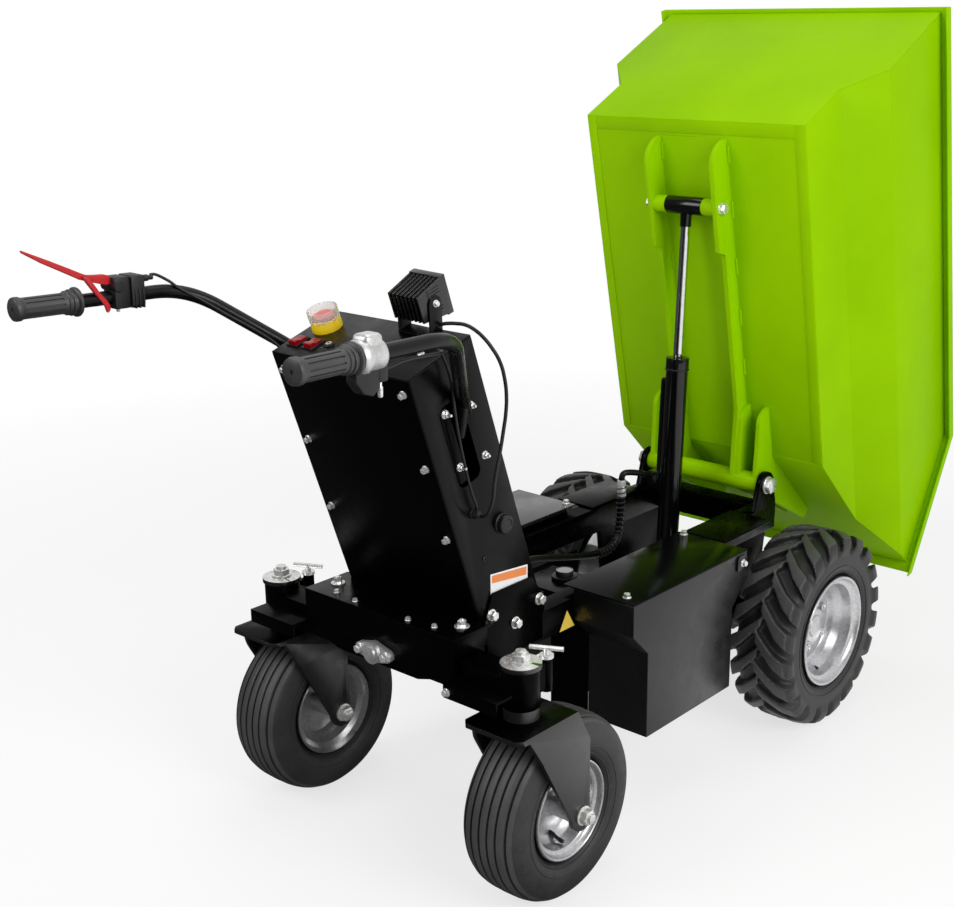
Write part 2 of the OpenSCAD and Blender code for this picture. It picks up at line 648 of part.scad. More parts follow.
module lock_pins() color("#b9bcbf") for (s = [-1, 1]) translate([kingpin_x + lock_ahead, s * kingpin_y, 0]) {
    bar_z(0, 0, tube_z, lock_top + 16, lock_pin_d);
    bar_z(0, 0, lock_top, lock_top + 5, lock_tube_d + 4);
    rotate([0, 0, handle_turn]) bar_y(0, lock_top + 16, -handle_l / 2, handle_l / 2, handle_d);
}

// Control column, leaning back, drawn from its upper rear edge with X to its front

cover_t = 3;
panel_t = 3;
column_l = (column_z - deck_z) / cos(lean) + column_d;
bracket_sheet = 5;
bracket_l = 144;
bracket_rise = 40;
bracket_slope = 28;
module in_column() translate([-column_back, 0, column_z]) rotate([0, -lean, 0]) children();
module over_deck() intersection() {
    children();
    block([-column_back - 200, -column_w, deck_z], [0, column_w, column_z + 200]);
}
module column_shell() color("#141414") over_deck() in_column() difference() {
    block([cover_t, -column_y, -column_l], [column_d, column_y, -panel_t]);
    block([cover_t - 1, column_t - column_y, -column_l - 20], [column_d - column_t, column_y - column_t, 0]);
}
module column_cover() color("#181818") over_deck() in_column()
    block([0, -column_y, -column_l], [cover_t, column_y, -panel_t]);
module top_panel() color("#131313") in_column() block([0, -column_y, -panel_t], [column_d, column_y, 0]);
module column_brackets() color("#151515") both_sides() plate_y(column_y, column_y + bracket_sheet, [
    [bracket_back, rail_z + 8], [bracket_back + bracket_l, rail_z + 8], [bracket_back + bracket_l, deck_z + 2],
    [bracket_back + bracket_l - bracket_slope, deck_z + bracket_rise],
    [bracket_back + 16, deck_z + bracket_rise], [bracket_back, deck_z + 8]]);
module side_fittings() color("#191919") in_column() {
    bar_y(105, -332, -column_y - 16, -column_y, 36);
    bar_y(52, -278, -column_y - 12, -column_y, 20);
}

// Switches on the top panel

stop_x = 94;
stop_y = 118;
guard_d = 52;
rocker_x = 40;
rocker_ys = [133, 97];
module stop_guard() color("#e8c818") in_column() translate([stop_x, stop_y, 0]) difference() {
    cylinder(h = 34, d = guard_d);
    translate([0, 0, 6]) cylinder(h = 40, d = guard_d - 6);
}
module stop_button() color("#c81418") in_column() translate([stop_x, stop_y, 6]) {
    cylinder(h = 12, d = 22);
    translate([0, 0, 12]) cylinder(h = 10, d = 36);
}
module rocker_switches() color("#b81216") in_column() for (y = rocker_ys)
    block([rocker_x - 15, y - 10.5, 0], [rocker_x + 15, y + 10.5, 7]);

// Work lamp on its bracket

lamp_x = 145;
lamp_y = -66;
lamp_w = 69;
lamp_depth = 64;
lamp_turn = -3;
// The lamp's front and rear, measured up from the panel
lamp_front = [18, 84];
lamp_rear = [28, 72];
lamp_mid_z = 50;
bezel_t = 12;
bezel_w = 4;
lens_t = 4;
fin_count = 8;
fin_t = 4;
fin_h = 6;
strap = 4;
lamp_half = lamp_w / 2;
lamp_reach = lamp_depth / 2;
function lamp_outline(inset) = [[inset - lamp_reach, lamp_rear[0]], [inset - lamp_reach, lamp_rear[1] - inset],
    [lamp_reach - bezel_t, lamp_front[1] - 2 - inset], [lamp_reach - bezel_t, lamp_front[0] + 2]];
module in_lamp() in_column() translate([lamp_x, lamp_y, 0]) rotate([0, 0, lamp_turn]) children();
module lamp_bracket() color("#161616") in_lamp() {
    block([-30, -lamp_half - strap, 0], [-4, lamp_half + strap, strap]);
    both_sides() plate_y(lamp_half, lamp_half + strap, [[-30, 0], [-4, 0], [9, lamp_mid_z - 6],
        [9, lamp_mid_z + 6], [3, lamp_mid_z + 12], [-9, lamp_mid_z + 12], [-16, lamp_mid_z + 4]]);
}
module lamp_body() color("#1a1a1a") in_lamp() {
    plate_y(-lamp_half, lamp_half, lamp_outline(fin_h));
    fin_pitch = (lamp_w - fin_t) / (fin_count - 1);
    for (i = [0 : fin_count - 1]) translate([0, i * fin_pitch - lamp_half, 0])
        plate_y(0, fin_t, lamp_outline(0));
    difference() {
        block([lamp_reach - bezel_t, -lamp_half, lamp_front[0]], [lamp_reach, lamp_half, lamp_front[1]]);
        block([lamp_reach - lens_t, bezel_w - lamp_half, lamp_front[0] + bezel_w],
            [lamp_reach + 1, lamp_half - bezel_w, lamp_front[1] - bezel_w]);
    }
}
module lamp_lens() color("#e6eaec") in_lamp()
    block([lamp_reach - lens_t, bezel_w - lamp_half, lamp_front[0] + bezel_w],
        [lamp_reach - 1, lamp_half - bezel_w, lamp_front[1] - bezel_w]);
lead_d = 6;
lead_route = [[-881, -104.5, 952], [-879, -117, 955], [-874, -131, 956], [-868, -146, 955], [-865, -163, 949],
    [-861, -178, 938], [-855, -190, 922], [-846, -198, 900], [-839, -201, 873], [-836, -202, 844],
    [-838, -202, 816], [-843, -201, 788], [-849, -200, 760], [-856, -199, 732], [-862, -198, 706],
    [-865, -198, 684], [-867, -194, 666], [-868, -186, 652], [-868, -176, 647], [-868, -168, 647]];
module lamp_lead() color("#0f0f0f") sweep(lead_route, lead_d, 8);

// Handlebars, drawn on the left

bar_foot = 3.5;
bar_y0 = column_y + bar_foot + bar_d / 2;
bar_low = [-column_back + 132, bar_y0, column_z - 177];
bar_high = [-column_back + 99, bar_y0, column_z - 32];
bar_corner = [-column_back - 50, grip_span / 2 - 14, column_z + 94];
bar_end = [-grip_back, grip_span / 2, grip_z];
bar_way = unit(bar_end - bar_corner);
cap_t = 4;
module on_bar(back) translate(bar_end - back * bar_way)
    rotate([0, acos(bar_way[2]), atan2(bar_way[1], bar_way[0])]) children();
module handlebars() color("#141414") both_sides() {
    sweep(rounded([bar_low, bar_high, bar_corner, bar_end - (cap_t + face_gap) * bar_way], 62, 8), bar_d, 16);
    plate_y(column_y, column_y + bar_foot + 3, [
        [bar_low[0] - 24, bar_low[2] - 6], [bar_low[0] + 24, bar_low[2] - 6],
        [bar_high[0] + 36, bar_high[2] - 22], [bar_high[0] - 12, bar_high[2] - 22]]);
}
module grips() color("#1c1c1e") both_sides() on_bar(0) difference() {
    union() {
        translate([0, 0, -grip_l]) cylinder(h = grip_l, d = grip_d);
        translate([0, 0, -grip_l]) cylinder(h = 6, d = grip_d + 12);
        translate([0, 0, -10]) cylinder(h = 7, d = grip_d + 4);
    }
    translate([0, 0, -grip_l - 1]) cylinder(h = grip_l + 1 - cap_t, d = bar_d + 2 * run_gap);
}
clamp_back = grip_l + 36;
clamp_l = 34;
module brake_clamp() color("#151515") on_bar(clamp_back + clamp_l) difference() {
    union() {
        cylinder(h = clamp_l, d = bar_d + 14);
        block([-26, -16, 2], [0, 16, clamp_l - 2]);
        block([-44, -9, 6], [-20, 9, clamp_l + 8]);
    }
    translate([0, 0, -1]) cylinder(h = clamp_l + 2, d = bar_d + 2 * run_gap);
}
lever_root = clamp_l + 8 + face_gap;
module brake_lever() color("#c41a1c") on_bar(clamp_back + clamp_l) plate_y(-5, 5, [
    [-42, lever_root], [-22, lever_root], [-38, lever_root + 34], [-84, lever_root + 112],
    [-92, lever_root + 108], [-64, lever_root + 38]]);
module throttle() color("#c9cbcc") mirror([0, 1, 0]) on_bar(clamp_back + clamp_l - 26) difference() {
    union() {
        cylinder(h = clamp_l + 8, d = bar_d + 18);
        block([-30, -14, 4], [0, 14, clamp_l + 4]);
        block([12, -6, 10], [44, 2, clamp_l - 2]);
    }
    translate([0, 0, -1]) cylinder(h = clamp_l + 10, d = bar_d + 2 * run_gap);
}
cable_d = 5;
cable_lift = 22;
brake_cable = [bar_end - (clamp_back + clamp_l + 2) * bar_way + [0, 0, cable_lift],
    bar_corner + [0, 0, cable_lift + 2],
    (bar_corner + bar_high) / 2 + [0, 0, cable_lift + 4], [-column_back + 70, column_y + 40, column_z + 20],
    [-column_back + 56, column_y + 24, column_z - 16],
    [-column_back + 56, column_y + face_gap, column_z - 40]];
module control_cables() color("#111111") both_sides() sweep(rounded(brake_cable, 22, 4), cable_d, 8);

// Tub, drawn level with its floor's front edge at the origin and its rear towards -X

floor_half = tub_floor_w / 2;
tub_half = tub_w / 2;
slant_turn = tan(atan((tub_half - floor_half) / (tub_knee_h - tub_low_h)) / 2) * tub_t;
module in_tub() translate([hinge_x, 0, hinge_z]) rotate([0, tip, 0])
    translate([-hinge_ahead, 0, hinge_below]) children();
lip_slope = atan2(lip_h, lip_reach);
front_shift = tub_t / sin(lip_slope);
rear_shift = tub_t / cos(rear_flare);
function front_x(h, inset = 0) = h * lip_reach / lip_h - inset * front_shift;
function rear_x(h, inset = 0) = -tub_l - h * tan(rear_flare) + inset * rear_shift;
rim_drop = (tub_h - lip_h) / (lip_reach - rim_level);
// Height at which the front slope, moved in by some sheets, meets the rim's slope
function front_h(inset) =
    (tub_h + (inset * front_shift + rim_level) * rim_drop) / (1 + lip_reach / lip_h * rim_drop);
function tub_profile(inset) = [[front_x(0, inset), 0], [front_x(front_h(inset), inset), front_h(inset)],
    [rim_level, tub_h], [rear_x(tub_h, inset), tub_h], [rear_x(0, inset), 0]];
outer_half = [[floor_half, 0], [floor_half, tub_low_h], [tub_half, tub_knee_h], [tub_half, tub_h]];
inner_half = [[floor_half - tub_t, 0], [floor_half - tub_t, tub_low_h + slant_turn],
    [tub_half - tub_t, tub_knee_h + slant_turn], [tub_half - tub_t, tub_h]];
module outer_section() plate_x(-tub_l - tub_h, lip_reach + tub_h,
    concat(outer_half, [for (i = [3 : -1 : 0]) [-outer_half[i][0], outer_half[i][1]]]));
module tub_side() in_tub() intersection() {
    plate_x(-tub_l - tub_h, lip_reach + tub_h, concat(outer_half, [for (i = [3 : -1 : 0]) inner_half[i]]));
    plate_y(0, tub_w, tub_profile(1));
}
module tub_floor() color("#8fc31f") in_tub() plate_y(tub_t - floor_half, floor_half - tub_t, [
    [front_x(0, 1), 0], [front_x(tub_t, 1), tub_t], [rear_x(tub_t, 1), tub_t], [rear_x(0, 1), 0]]);
module tub_side_left() color("#8fc31f") tub_side();
module tub_side_right() color("#8fc31f") mirror([0, 1, 0]) tub_side();
module tub_front() color("#8fc31f") in_tub() intersection() {
    plate_y(-tub_w, tub_w,
        [[0, 0], [lip_reach, lip_h], [front_x(front_h(1), 1), front_h(1)], [front_x(0, 1), 0]]);
    outer_section();
}
module tub_rear() color("#8fc31f") in_tub() intersection() {
    plate_y(-tub_w, tub_w,
        [[rear_x(0), 0], [rear_x(0, 1), 0], [rear_x(tub_h, 1), tub_h], [rear_x(tub_h), tub_h]]);
    outer_section();
}
flange_t = 4;
rear_flange = 8;
module rim_strip(depth, out) plate_y(-tub_half - out, tub_half + out, [
    [rear_x(tub_h) - rear_flange, tub_h], [rim_level, tub_h],
    [lip_reach + flange_w * cos(45), lip_h - flange_w * cos(45) * rim_drop],
    [lip_reach + flange_w * cos(45), lip_h - flange_w * cos(45) * rim_drop - depth],
    [rim_level, tub_h - depth], [rear_x(tub_h) - rear_flange, tub_h - depth]]);
module tub_rim() color("#86bb1c") in_tub() difference() {
    union() {
        rim_strip(flange_t, flange_w);
        difference() {
            rim_strip(flange_lip, flange_w);
            rim_strip(flange_lip + tub_h, flange_w - flange_t);
        }
    }
    intersection() {
        outer_section();
        plate_y(-tub_w, tub_w, tub_profile(0));
    }
}
// Plates under the tub that carry the hinge tube and the rod's pin
hinge_tube_d = 42;
stub_in = 43;
stub_d = 34;
plate_top = eye_u + 130;
plate_step = eye_u - 97;
plate_deep = eye_below + 18;
plate_low = 36;
plate_round = 46;
doubler_t = 4;
gusset_top = 116;
gusset_deep = 40;
gusset_rise = 130;
outer_plate_y = ear_in - 16;
module long_plate() plate_y(bracket_y - bracket_t / 2, bracket_y + bracket_t / 2, concat([
    [10, 0], [hinge_ahead + 16, -hinge_below + 12], [hinge_ahead - 6, -hinge_below - 18],
    [-gusset_top, -plate_low], [-plate_step, -plate_low], [-plate_step - 10, -plate_deep],
    [plate_round - plate_top, -plate_deep]],
    [for (a = [15 : 15 : 90]) [plate_round * (1 - sin(a)) - plate_top, -plate_deep * cos(a)]]));
// A hinge plate from the floor's front round the fold, to the front slope
module hinge_gusset(from) plate_y(from, from + bracket_t, concat(
    [for (a = [0 : 15 : 90]) [-gusset_top + 30 * (1 - cos(a)), -gusset_deep * sin(a)]], [
    [hinge_ahead - 18, -hinge_below - 12], [hinge_ahead + 4, -hinge_below - 21],
    [hinge_ahead + 24, -hinge_below - 4], [front_x(gusset_rise) + 14, gusset_rise - 18],
    [front_x(gusset_rise), gusset_rise], [0, 0]]));
module tub_bracket() color("#8fc31f") in_tub() difference() {
    union() {
        both_sides() {
            long_plate();
            hinge_gusset(bracket_y + bracket_t / 2);
            hinge_gusset(outer_plate_y);
            bar_y(-eye_u, -eye_below, stub_in + face_gap, bracket_y, stub_d);
        }
        block([-plate_top, -bracket_y, -doubler_t], [-doubler_t, bracket_y, 0]);
        bar_y(hinge_ahead, -hinge_below, face_gap - ear_in, ear_in - face_gap, hinge_tube_d);
    }
    bar_y(hinge_ahead, -hinge_below, -rail_out, rail_out, hinge_d + 2 * run_gap);
}

// Tipping cylinder, drawn upright from its lower pin

eye_half = 25;
lug_t = 10;
lug_r = 24;
barrel_wall = 6;
barrel_foot = lug_r + 10;
barrel_base = 18;
neck_d = 2 * eye_half - 4;
gland_h = 26;
sleeve_d = 36;
rod_neck = 42;
pipe_d = 12;
pipe_y = barrel_d / 2 + pipe_d / 2 + 2;
pipe_top = barrel_l - 52;
rod_inside = 112;
port_y = 42;
module in_cylinder() translate([-cylinder_back, 0, cylinder_z]) rotate([0, cylinder_lean, 0]) children();
module cylinder_mount() color("#161616") {
    block([-cylinder_back - mount_half, -axle_plate_y, mount_z],
        [-cylinder_back + mount_front, axle_plate_y, mount_z + mount_t]);
    both_sides() difference() {
        union() {
            plate_y(eye_half + face_gap, eye_half + face_gap + lug_t, [
                [-cylinder_back - mount_front, mount_z + mount_t],
                [-cylinder_back + mount_front, mount_z + mount_t],
                [-cylinder_back + lug_r - 1, cylinder_z + 6], [-cylinder_back - lug_r + 1, cylinder_z + 6]]);
            bar_y(-cylinder_back, cylinder_z, eye_half + face_gap, eye_half + face_gap + lug_t, 2 * lug_r);
        }
        bar_y(-cylinder_back, cylinder_z, 0, 100, cylinder_pin_d);
    }
    bar_y(-cylinder_back, cylinder_z, -eye_half - lug_t - 6, eye_half + lug_t + 6, cylinder_pin_d);
}
module cylinder_barrel() color("#121212") in_cylinder() difference() {
    union() {
        bar_z(0, 0, barrel_foot, barrel_l - gland_h, barrel_d);
        bar_z(0, 0, 0, barrel_foot + 1, neck_d);
        bar_z(0, 0, barrel_l - gland_h, barrel_l, barrel_d + 2);
        bar_y(0, 0, -eye_half, eye_half, 40);
        bar_z(0, pipe_y, 170, pipe_top, pipe_d);
        translate([0, pipe_y, pipe_top]) sphere(d = pipe_d);
        bar_y(0, pipe_top, barrel_d / 2 - barrel_wall / 2, pipe_y, pipe_d);
        block([-14, 20, 160], [14, port_y + 8, 196]);
    }
    bar_z(0, 0, barrel_foot + barrel_base, barrel_l - gland_h, barrel_d - 2 * barrel_wall);
    bar_z(0, 0, barrel_foot + barrel_base, barrel_l + 1, rod_d + 2 * run_gap);
    bar_y(0, 0, -eye_half - 1, eye_half + 1, cylinder_pin_d + 2 * run_gap);
}
module cylinder_rod() color("#d5d8da") in_cylinder() {
    bar_z(0, 0, barrel_l - rod_inside, cylinder_l, rod_d);
    bar_z(0, 0, cylinder_l - rod_neck, cylinder_l, rod_d + 3);
    bar_y(0, cylinder_l, -stub_in, stub_in, sleeve_d);
}

place() frame_rails();
place() cross_members();
place() hinge_pin();
place() drive_axle();
place() drive_motor();
place() cylinder_mount();
place() battery_boxes();
place() battery_lids();
place() batteries();
place() hydraulic_unit();
place() hydraulic_hose();
place() rear_deck();
place() pivot_bearing();
place() rear_axle();
place() lock_pins();
place() column_shell();
place() column_cover();
place() top_panel();
place() column_brackets();
place() side_fittings();
place() stop_guard();
place() stop_button();
place() rocker_switches();
place() lamp_bracket();
place() lamp_body();
place() lamp_lens();
place() lamp_lead();
place() handlebars();
place() grips();
place() brake_clamp();
place() brake_lever();
place() throttle();
place() control_cables();
place() tub_floor();
place() tub_front();
place() tub_rear();
place() tub_side_left();
place() tub_side_right();
place() tub_rim();
place() tub_bracket();
place() cylinder_barrel();
place() cylinder_rod();
place() drive_tyre_left();
place() drive_tyre_right();
place() drive_rim_left();
place() drive_rim_right();
place() caster_fork_left();
place() caster_fork_right();
place() caster_bolts_left();
place() caster_bolts_right();
place() caster_tyre_left();
place() caster_tyre_right();
place() caster_rim_left();
place() caster_rim_right();
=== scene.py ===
import json
import math

import bpy
from mathutils import Matrix, Vector

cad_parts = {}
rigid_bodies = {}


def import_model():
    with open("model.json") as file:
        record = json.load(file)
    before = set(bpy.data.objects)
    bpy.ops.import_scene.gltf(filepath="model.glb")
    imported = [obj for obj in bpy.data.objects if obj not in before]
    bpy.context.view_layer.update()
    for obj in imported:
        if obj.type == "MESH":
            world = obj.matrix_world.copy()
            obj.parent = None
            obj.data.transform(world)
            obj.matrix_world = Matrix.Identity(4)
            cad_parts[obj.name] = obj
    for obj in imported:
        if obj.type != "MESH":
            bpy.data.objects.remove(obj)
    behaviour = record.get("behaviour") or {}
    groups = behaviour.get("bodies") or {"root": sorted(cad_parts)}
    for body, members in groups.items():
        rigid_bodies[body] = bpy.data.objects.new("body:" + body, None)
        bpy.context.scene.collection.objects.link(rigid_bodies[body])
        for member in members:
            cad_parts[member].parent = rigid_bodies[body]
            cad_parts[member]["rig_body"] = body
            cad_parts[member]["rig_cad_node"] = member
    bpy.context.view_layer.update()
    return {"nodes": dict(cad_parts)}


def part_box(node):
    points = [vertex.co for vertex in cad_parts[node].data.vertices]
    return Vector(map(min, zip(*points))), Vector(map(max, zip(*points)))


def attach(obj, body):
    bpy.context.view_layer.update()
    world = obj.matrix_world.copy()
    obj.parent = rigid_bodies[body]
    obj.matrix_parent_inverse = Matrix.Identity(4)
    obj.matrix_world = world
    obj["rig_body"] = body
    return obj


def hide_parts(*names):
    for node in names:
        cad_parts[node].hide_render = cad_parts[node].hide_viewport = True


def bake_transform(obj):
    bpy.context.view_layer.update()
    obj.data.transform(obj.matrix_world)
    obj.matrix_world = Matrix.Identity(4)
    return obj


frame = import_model()
nodes = frame["nodes"]
print("frame loaded:", len(nodes), "nodes")

# The machine's own frame: millimetres, X forwards and Z up, from the floor under the drive axle
tyreLow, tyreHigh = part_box("drive_tyre_left")
axleX = (tyreLow.x + tyreHigh.x) / 2


def spot(x, y, z):
    return Vector((x / 1000 + axleX, y / 1000, z / 1000))


# Camera at the photograph's viewing angle
cameraSet = {
    "place": (-2.04164, -1.6379, 1.3927),
    "pitch": -17.39,
    "yaw": -50.30,
    "lens": 53.595,
    "shift": (-0.0790, 0.0215),
}
bpy.ops.object.camera_add(location=cameraSet["place"])
camera = bpy.context.object
camera.rotation_euler = (math.radians(90 + cameraSet["pitch"]), 0, math.radians(cameraSet["yaw"]))
camera.data.sensor_width = 36
camera.data.sensor_fit = "HORIZONTAL"
camera.data.lens = cameraSet["lens"]
camera.data.shift_x, camera.data.shift_y = cameraSet["shift"]
bpy.context.scene.camera = camera
bpy.context.scene.view_settings.view_transform = "Standard"
print("camera set")


# Handling of objects

mergeGap = 0.00002


def deselect():
    if bpy.context.object and bpy.context.object.mode != "OBJECT":
        bpy.ops.object.mode_set(mode="OBJECT")
    bpy.ops.object.select_all(action="DESELECT")


def pick(obj):
    deselect()
    obj.select_set(True)
    bpy.context.view_layer.objects.active = obj


def enterEdit(obj, faces=None):
    # faces chooses by a face's middle and normal; without it everything is selected
    pick(obj)
    bpy.ops.object.mode_set(mode="EDIT")
    bpy.ops.mesh.select_mode(type="FACE")
    bpy.ops.mesh.select_all(action="DESELECT" if faces else "SELECT")
    if faces:
        bpy.ops.object.mode_set(mode="OBJECT")
        for face in obj.data.polygons:
            face.select = bool(faces(face.center, face.normal))
        bpy.ops.object.mode_set(mode="EDIT")


def leaveEdit():
    bpy.ops.object.mode_set(mode="OBJECT")


def bevelled(obj, width, steps=2, angle=35):
    pick(obj)
    edge = obj.modifiers.new("edge", "BEVEL")
    edge.width = width
    edge.segments = steps
    edge.limit_method = "ANGLE"
    edge.angle_limit = math.radians(angle)
    edge.use_clamp_overlap = True
    edge.harden_normals = False
    bpy.ops.object.modifier_apply(modifier=edge.name)


def smoothed(obj, angle=32):
    pick(obj)
    bpy.ops.object.shade_smooth_by_angle(angle=math.radians(angle))


def settled(obj):
    # puts the object's place into its mesh
    pick(obj)
    bpy.ops.object.transform_apply(location=True, rotation=True, scale=True)


def closedUp(obj):
    # merges doubles and turns all faces outwards
    enterEdit(obj)
    bpy.ops.mesh.remove_doubles(threshold=mergeGap)
    bpy.ops.mesh.normals_make_consistent(inside=False)
    leaveEdit()


def joined(parts, name):
    pick(parts[0])
    for part in parts:
        part.select_set(True)
    if len(parts) > 1:
        bpy.ops.object.join()
    whole = bpy.context.object
    whole.name = name
    return whole


def dressedIn(obj, finish):
    obj.data.materials.clear()
    obj.data.materials.append(finish)
    return obj


def standsFor(obj, finish, *names):
    # the piece takes the place of CAD nodes and moves as they do
    dressedIn(obj, finish)
    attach(obj, nodes[names[0]]["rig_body"])
    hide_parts(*names)
    return obj


def addedTo(obj, finish, body):
    dressedIn(obj, finish)
    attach(obj, body)
    return obj


# Places of the machine's own groups: the column, the lamp, the tub, the cylinder, the bars and the wheels

def moveBy(x, y, z):
    return Matrix.Translation(Vector((x, y, z)) / 1000)


def turnBy(angle, axis):
    return Matrix.Rotation(math.radians(angle), 4, axis)


def pointing(way):
    # Z turned to a way
    return Vector(way).to_track_quat("Z", "Y").to_matrix().to_4x4()


machinePlace = Matrix.Translation((axleX, 0, 0))
columnSet = {"back": -1006, "top": 894, "lean": 18.7, "half": 156}
columnTop = spot(columnSet["back"], 0, columnSet["top"])
columnPlace = Matrix.Translation(columnTop) @ turnBy(-columnSet["lean"], "Y")
lampPlace = columnPlace @ moveBy(145, -66, 0) @ turnBy(-3, "Z")
tubSet = {"hinge": (45, 0, 470), "tip": 78.36, "floor": (-38, 0, 56)}
tubPlace = Matrix.Translation(spot(*tubSet["hinge"])) @ turnBy(tubSet["tip"], "Y") @ moveBy(*tubSet["floor"])
rodEye = spot(-57.03, 0, 1054.43)
rodFoot = spot(-98, 0, 300)
rodWay = (rodEye - rodFoot).normalized()
cylinderPlace = Matrix.Translation(rodFoot) @ pointing(rodWay)
barSet = {"low": (-878, 138, 779), "slot": (-893.5, 163, 842), "high": (-907, 172, 862),
          "corner": (-1056, 302, 988), "end": (-1358, 316, 994), "diameter": 22.4}


def barPlace(side):
    # Z runs to the grip's end and X points up
    end = spot(barSet["end"][0], side * barSet["end"][1], barSet["end"][2])
    way = (end - spot(barSet["corner"][0], side * barSet["corner"][1], barSet["corner"][2])).normalized()
    across = way.cross(Vector((0, 0, 1))).normalized()
    up = across.cross(way)
    turn = Matrix((up, way.cross(up), way)).transposed().to_4x4()
    return Matrix.Translation(end) @ turn


def wheelPlace(x, y, z):
    # Z points to the wheel's outer side
    return Matrix.Translation(spot(x, y, z)) @ turnBy(-90 if y > 0 else 90, "X")


sides = {"left": 1, "right": -1}
signs = tuple(sides.values())

# Modelling steps that several pieces share; sizes are millimetres in the piece's own place


def put(piece, place):
    piece.matrix_world = place @ piece.matrix_world
    settled(piece)
    return piece


def addedAt(piece, place, finish, body="root", edge=0, angle=32):
    # a piece without a CAD node, put in its place
    put(piece, place)
    if edge:
        bevelled(piece, edge)
    smoothed(piece, angle)
    return addedTo(piece, finish, body)


def standsAt(piece, place, finish, node, angle=32):
    # a piece that takes a CAD node's place, put there
    put(piece, place)
    smoothed(piece, angle)
    return standsFor(piece, finish, node)


def onSides(points, chosen=signs):
    # points given for the left side, there and mirrored to the right
    return [(x, side * y, z) for side in chosen for x, y, z in points]


def blockOf(name, low, high):
    deselect()
    low, high = Vector(low) / 1000, Vector(high) / 1000
    bpy.ops.mesh.primitive_cube_add(size=1, location=(low + high) / 2)
    block = bpy.context.object
    block.name = name
    block.scale = high - low
    settled(block)
    return block


def sidedBlock(name, side, low, high):
    # a block given for the left side, or its mirror on the right
    near, far = sorted((side * low[1], side * high[1]))
    return blockOf(name, (low[0], near, low[2]), (high[0], far, high[2]))


def plateOf(name, outline, push):
    # an outline of points, extruded by a vector
    sheet = bpy.data.meshes.new(name)
    sheet.from_pydata([Vector(point) / 1000 for point in outline], [], [list(range(len(outline)))])
    plate = bpy.data.objects.new(name, sheet)
    bpy.context.scene.collection.objects.link(plate)
    enterEdit(plate)
    bpy.ops.mesh.extrude_region_move(TRANSFORM_OT_translate={"value": Vector(push) / 1000})
    leaveEdit()
    closedUp(plate)
    return plate


def turned(name, outline, steps=32, ring=False):
    # turned round Z: radius and height along the skin; a ring's outline comes back to its start
    deselect()
    radius, height = outline[0]
    bpy.ops.mesh.primitive_circle_add(vertices=steps, radius=radius / 1000, location=(0, 0, height / 1000),
                                      fill_type="NOTHING" if ring else "NGON")
    piece = bpy.context.object
    piece.name = name
    settled(piece)
    enterEdit(piece)
    if ring:
        bpy.ops.mesh.select_mode(type="VERT")
        bpy.ops.mesh.select_all(action="SELECT")
    for (oldRadius, oldHeight), (newRadius, newHeight) in zip(outline, outline[1:]):
        rise = (newHeight - oldHeight) / 1000
        bpy.ops.mesh.extrude_region_move(TRANSFORM_OT_translate={"value": (0, 0, rise)})
        grow = newRadius / oldRadius
        bpy.ops.transform.resize(value=(grow, grow, 1), center_override=(0, 0, newHeight / 1000))
    leaveEdit()
    closedUp(piece)
    return piece


def roundedRoute(points, reach, steps=6):
    # each inner corner rounded over a length
    points = [Vector(point) for point in points]
    route = [points[0]]
    for before, corner, after in zip(points, points[1:], points[2:]):
        start = corner + reach * (before - corner).normalized()
        end = corner + reach * (after - corner).normalized()
        for step in range(steps + 1):
            t = step / steps
            route.append((1 - t) ** 2 * start + 2 * t * (1 - t) * corner + t ** 2 * end)
    return route + [points[-1]]


def smoothRoute(points, steps=6):
    # one smooth curve through all points
    points = [Vector(point) for point in points]
    ends = [2 * points[0] - points[1]] + points + [2 * points[-1] - points[-2]]
    route = []
    for a, b, c, d in zip(ends, ends[1:], ends[2:], ends[3:]):
        for step in range(steps):
            t = step / steps
            route.append(0.5 * (2 * b + (c - a) * t + (2 * a - 5 * b + 4 * c - d) * t ** 2
                                + (3 * b - a - 3 * c + d) * t ** 3))
    return route + [points[-1]]


def routeLength(route):
    return sum((after - before).length for before, after in zip(route, route[1:]))


def lineAlong(name, route, diameter, fine=3):
    # a round line through points, all in metres
    curve = bpy.data.curves.new(name, "CURVE")
    curve.dimensions = "3D"
    curve.bevel_depth = diameter / 2
    curve.bevel_resolution = fine
    curve.use_fill_caps = True
    spline = curve.splines.new("POLY")
    spline.points.add(len(route) - 1)
    for point, place in zip(spline.points, route):
        point.co = (*place, 1)
    line = bpy.data.objects.new(name, curve)
    bpy.context.scene.collection.objects.link(line)
    return line


def tubeAlong(name, route, diameter, fine=3):
    tube = lineAlong(name, route, diameter, fine)
    pick(tube)
    bpy.ops.object.convert(target="MESH")
    tube = bpy.context.object
    smoothed(tube, 50)
    return tube


def partly(piece, finish, faces):
    # a second finish on the faces chosen by their middle and normal
    piece.data.materials.append(finish)
    slot = len(piece.data.materials) - 1
    for face in piece.data.polygons:
        if faces(face.center, face.normal):
            face.material_index = slot


def fluted(piece, low, high, every, thick, depth):
    # flutes pressed between two heights into each second or third of the ten-degree faces round Z
    def flute(middle, normal):
        step = int((math.degrees(math.atan2(middle.y, middle.x)) + 360) // 10)
        return low < middle.z * 1000 < high and step % every == 0
    enterEdit(piece, flute)
    bpy.ops.mesh.inset(thickness=thick / 1000, depth=-depth / 1000, use_individual=True)
    leaveEdit()


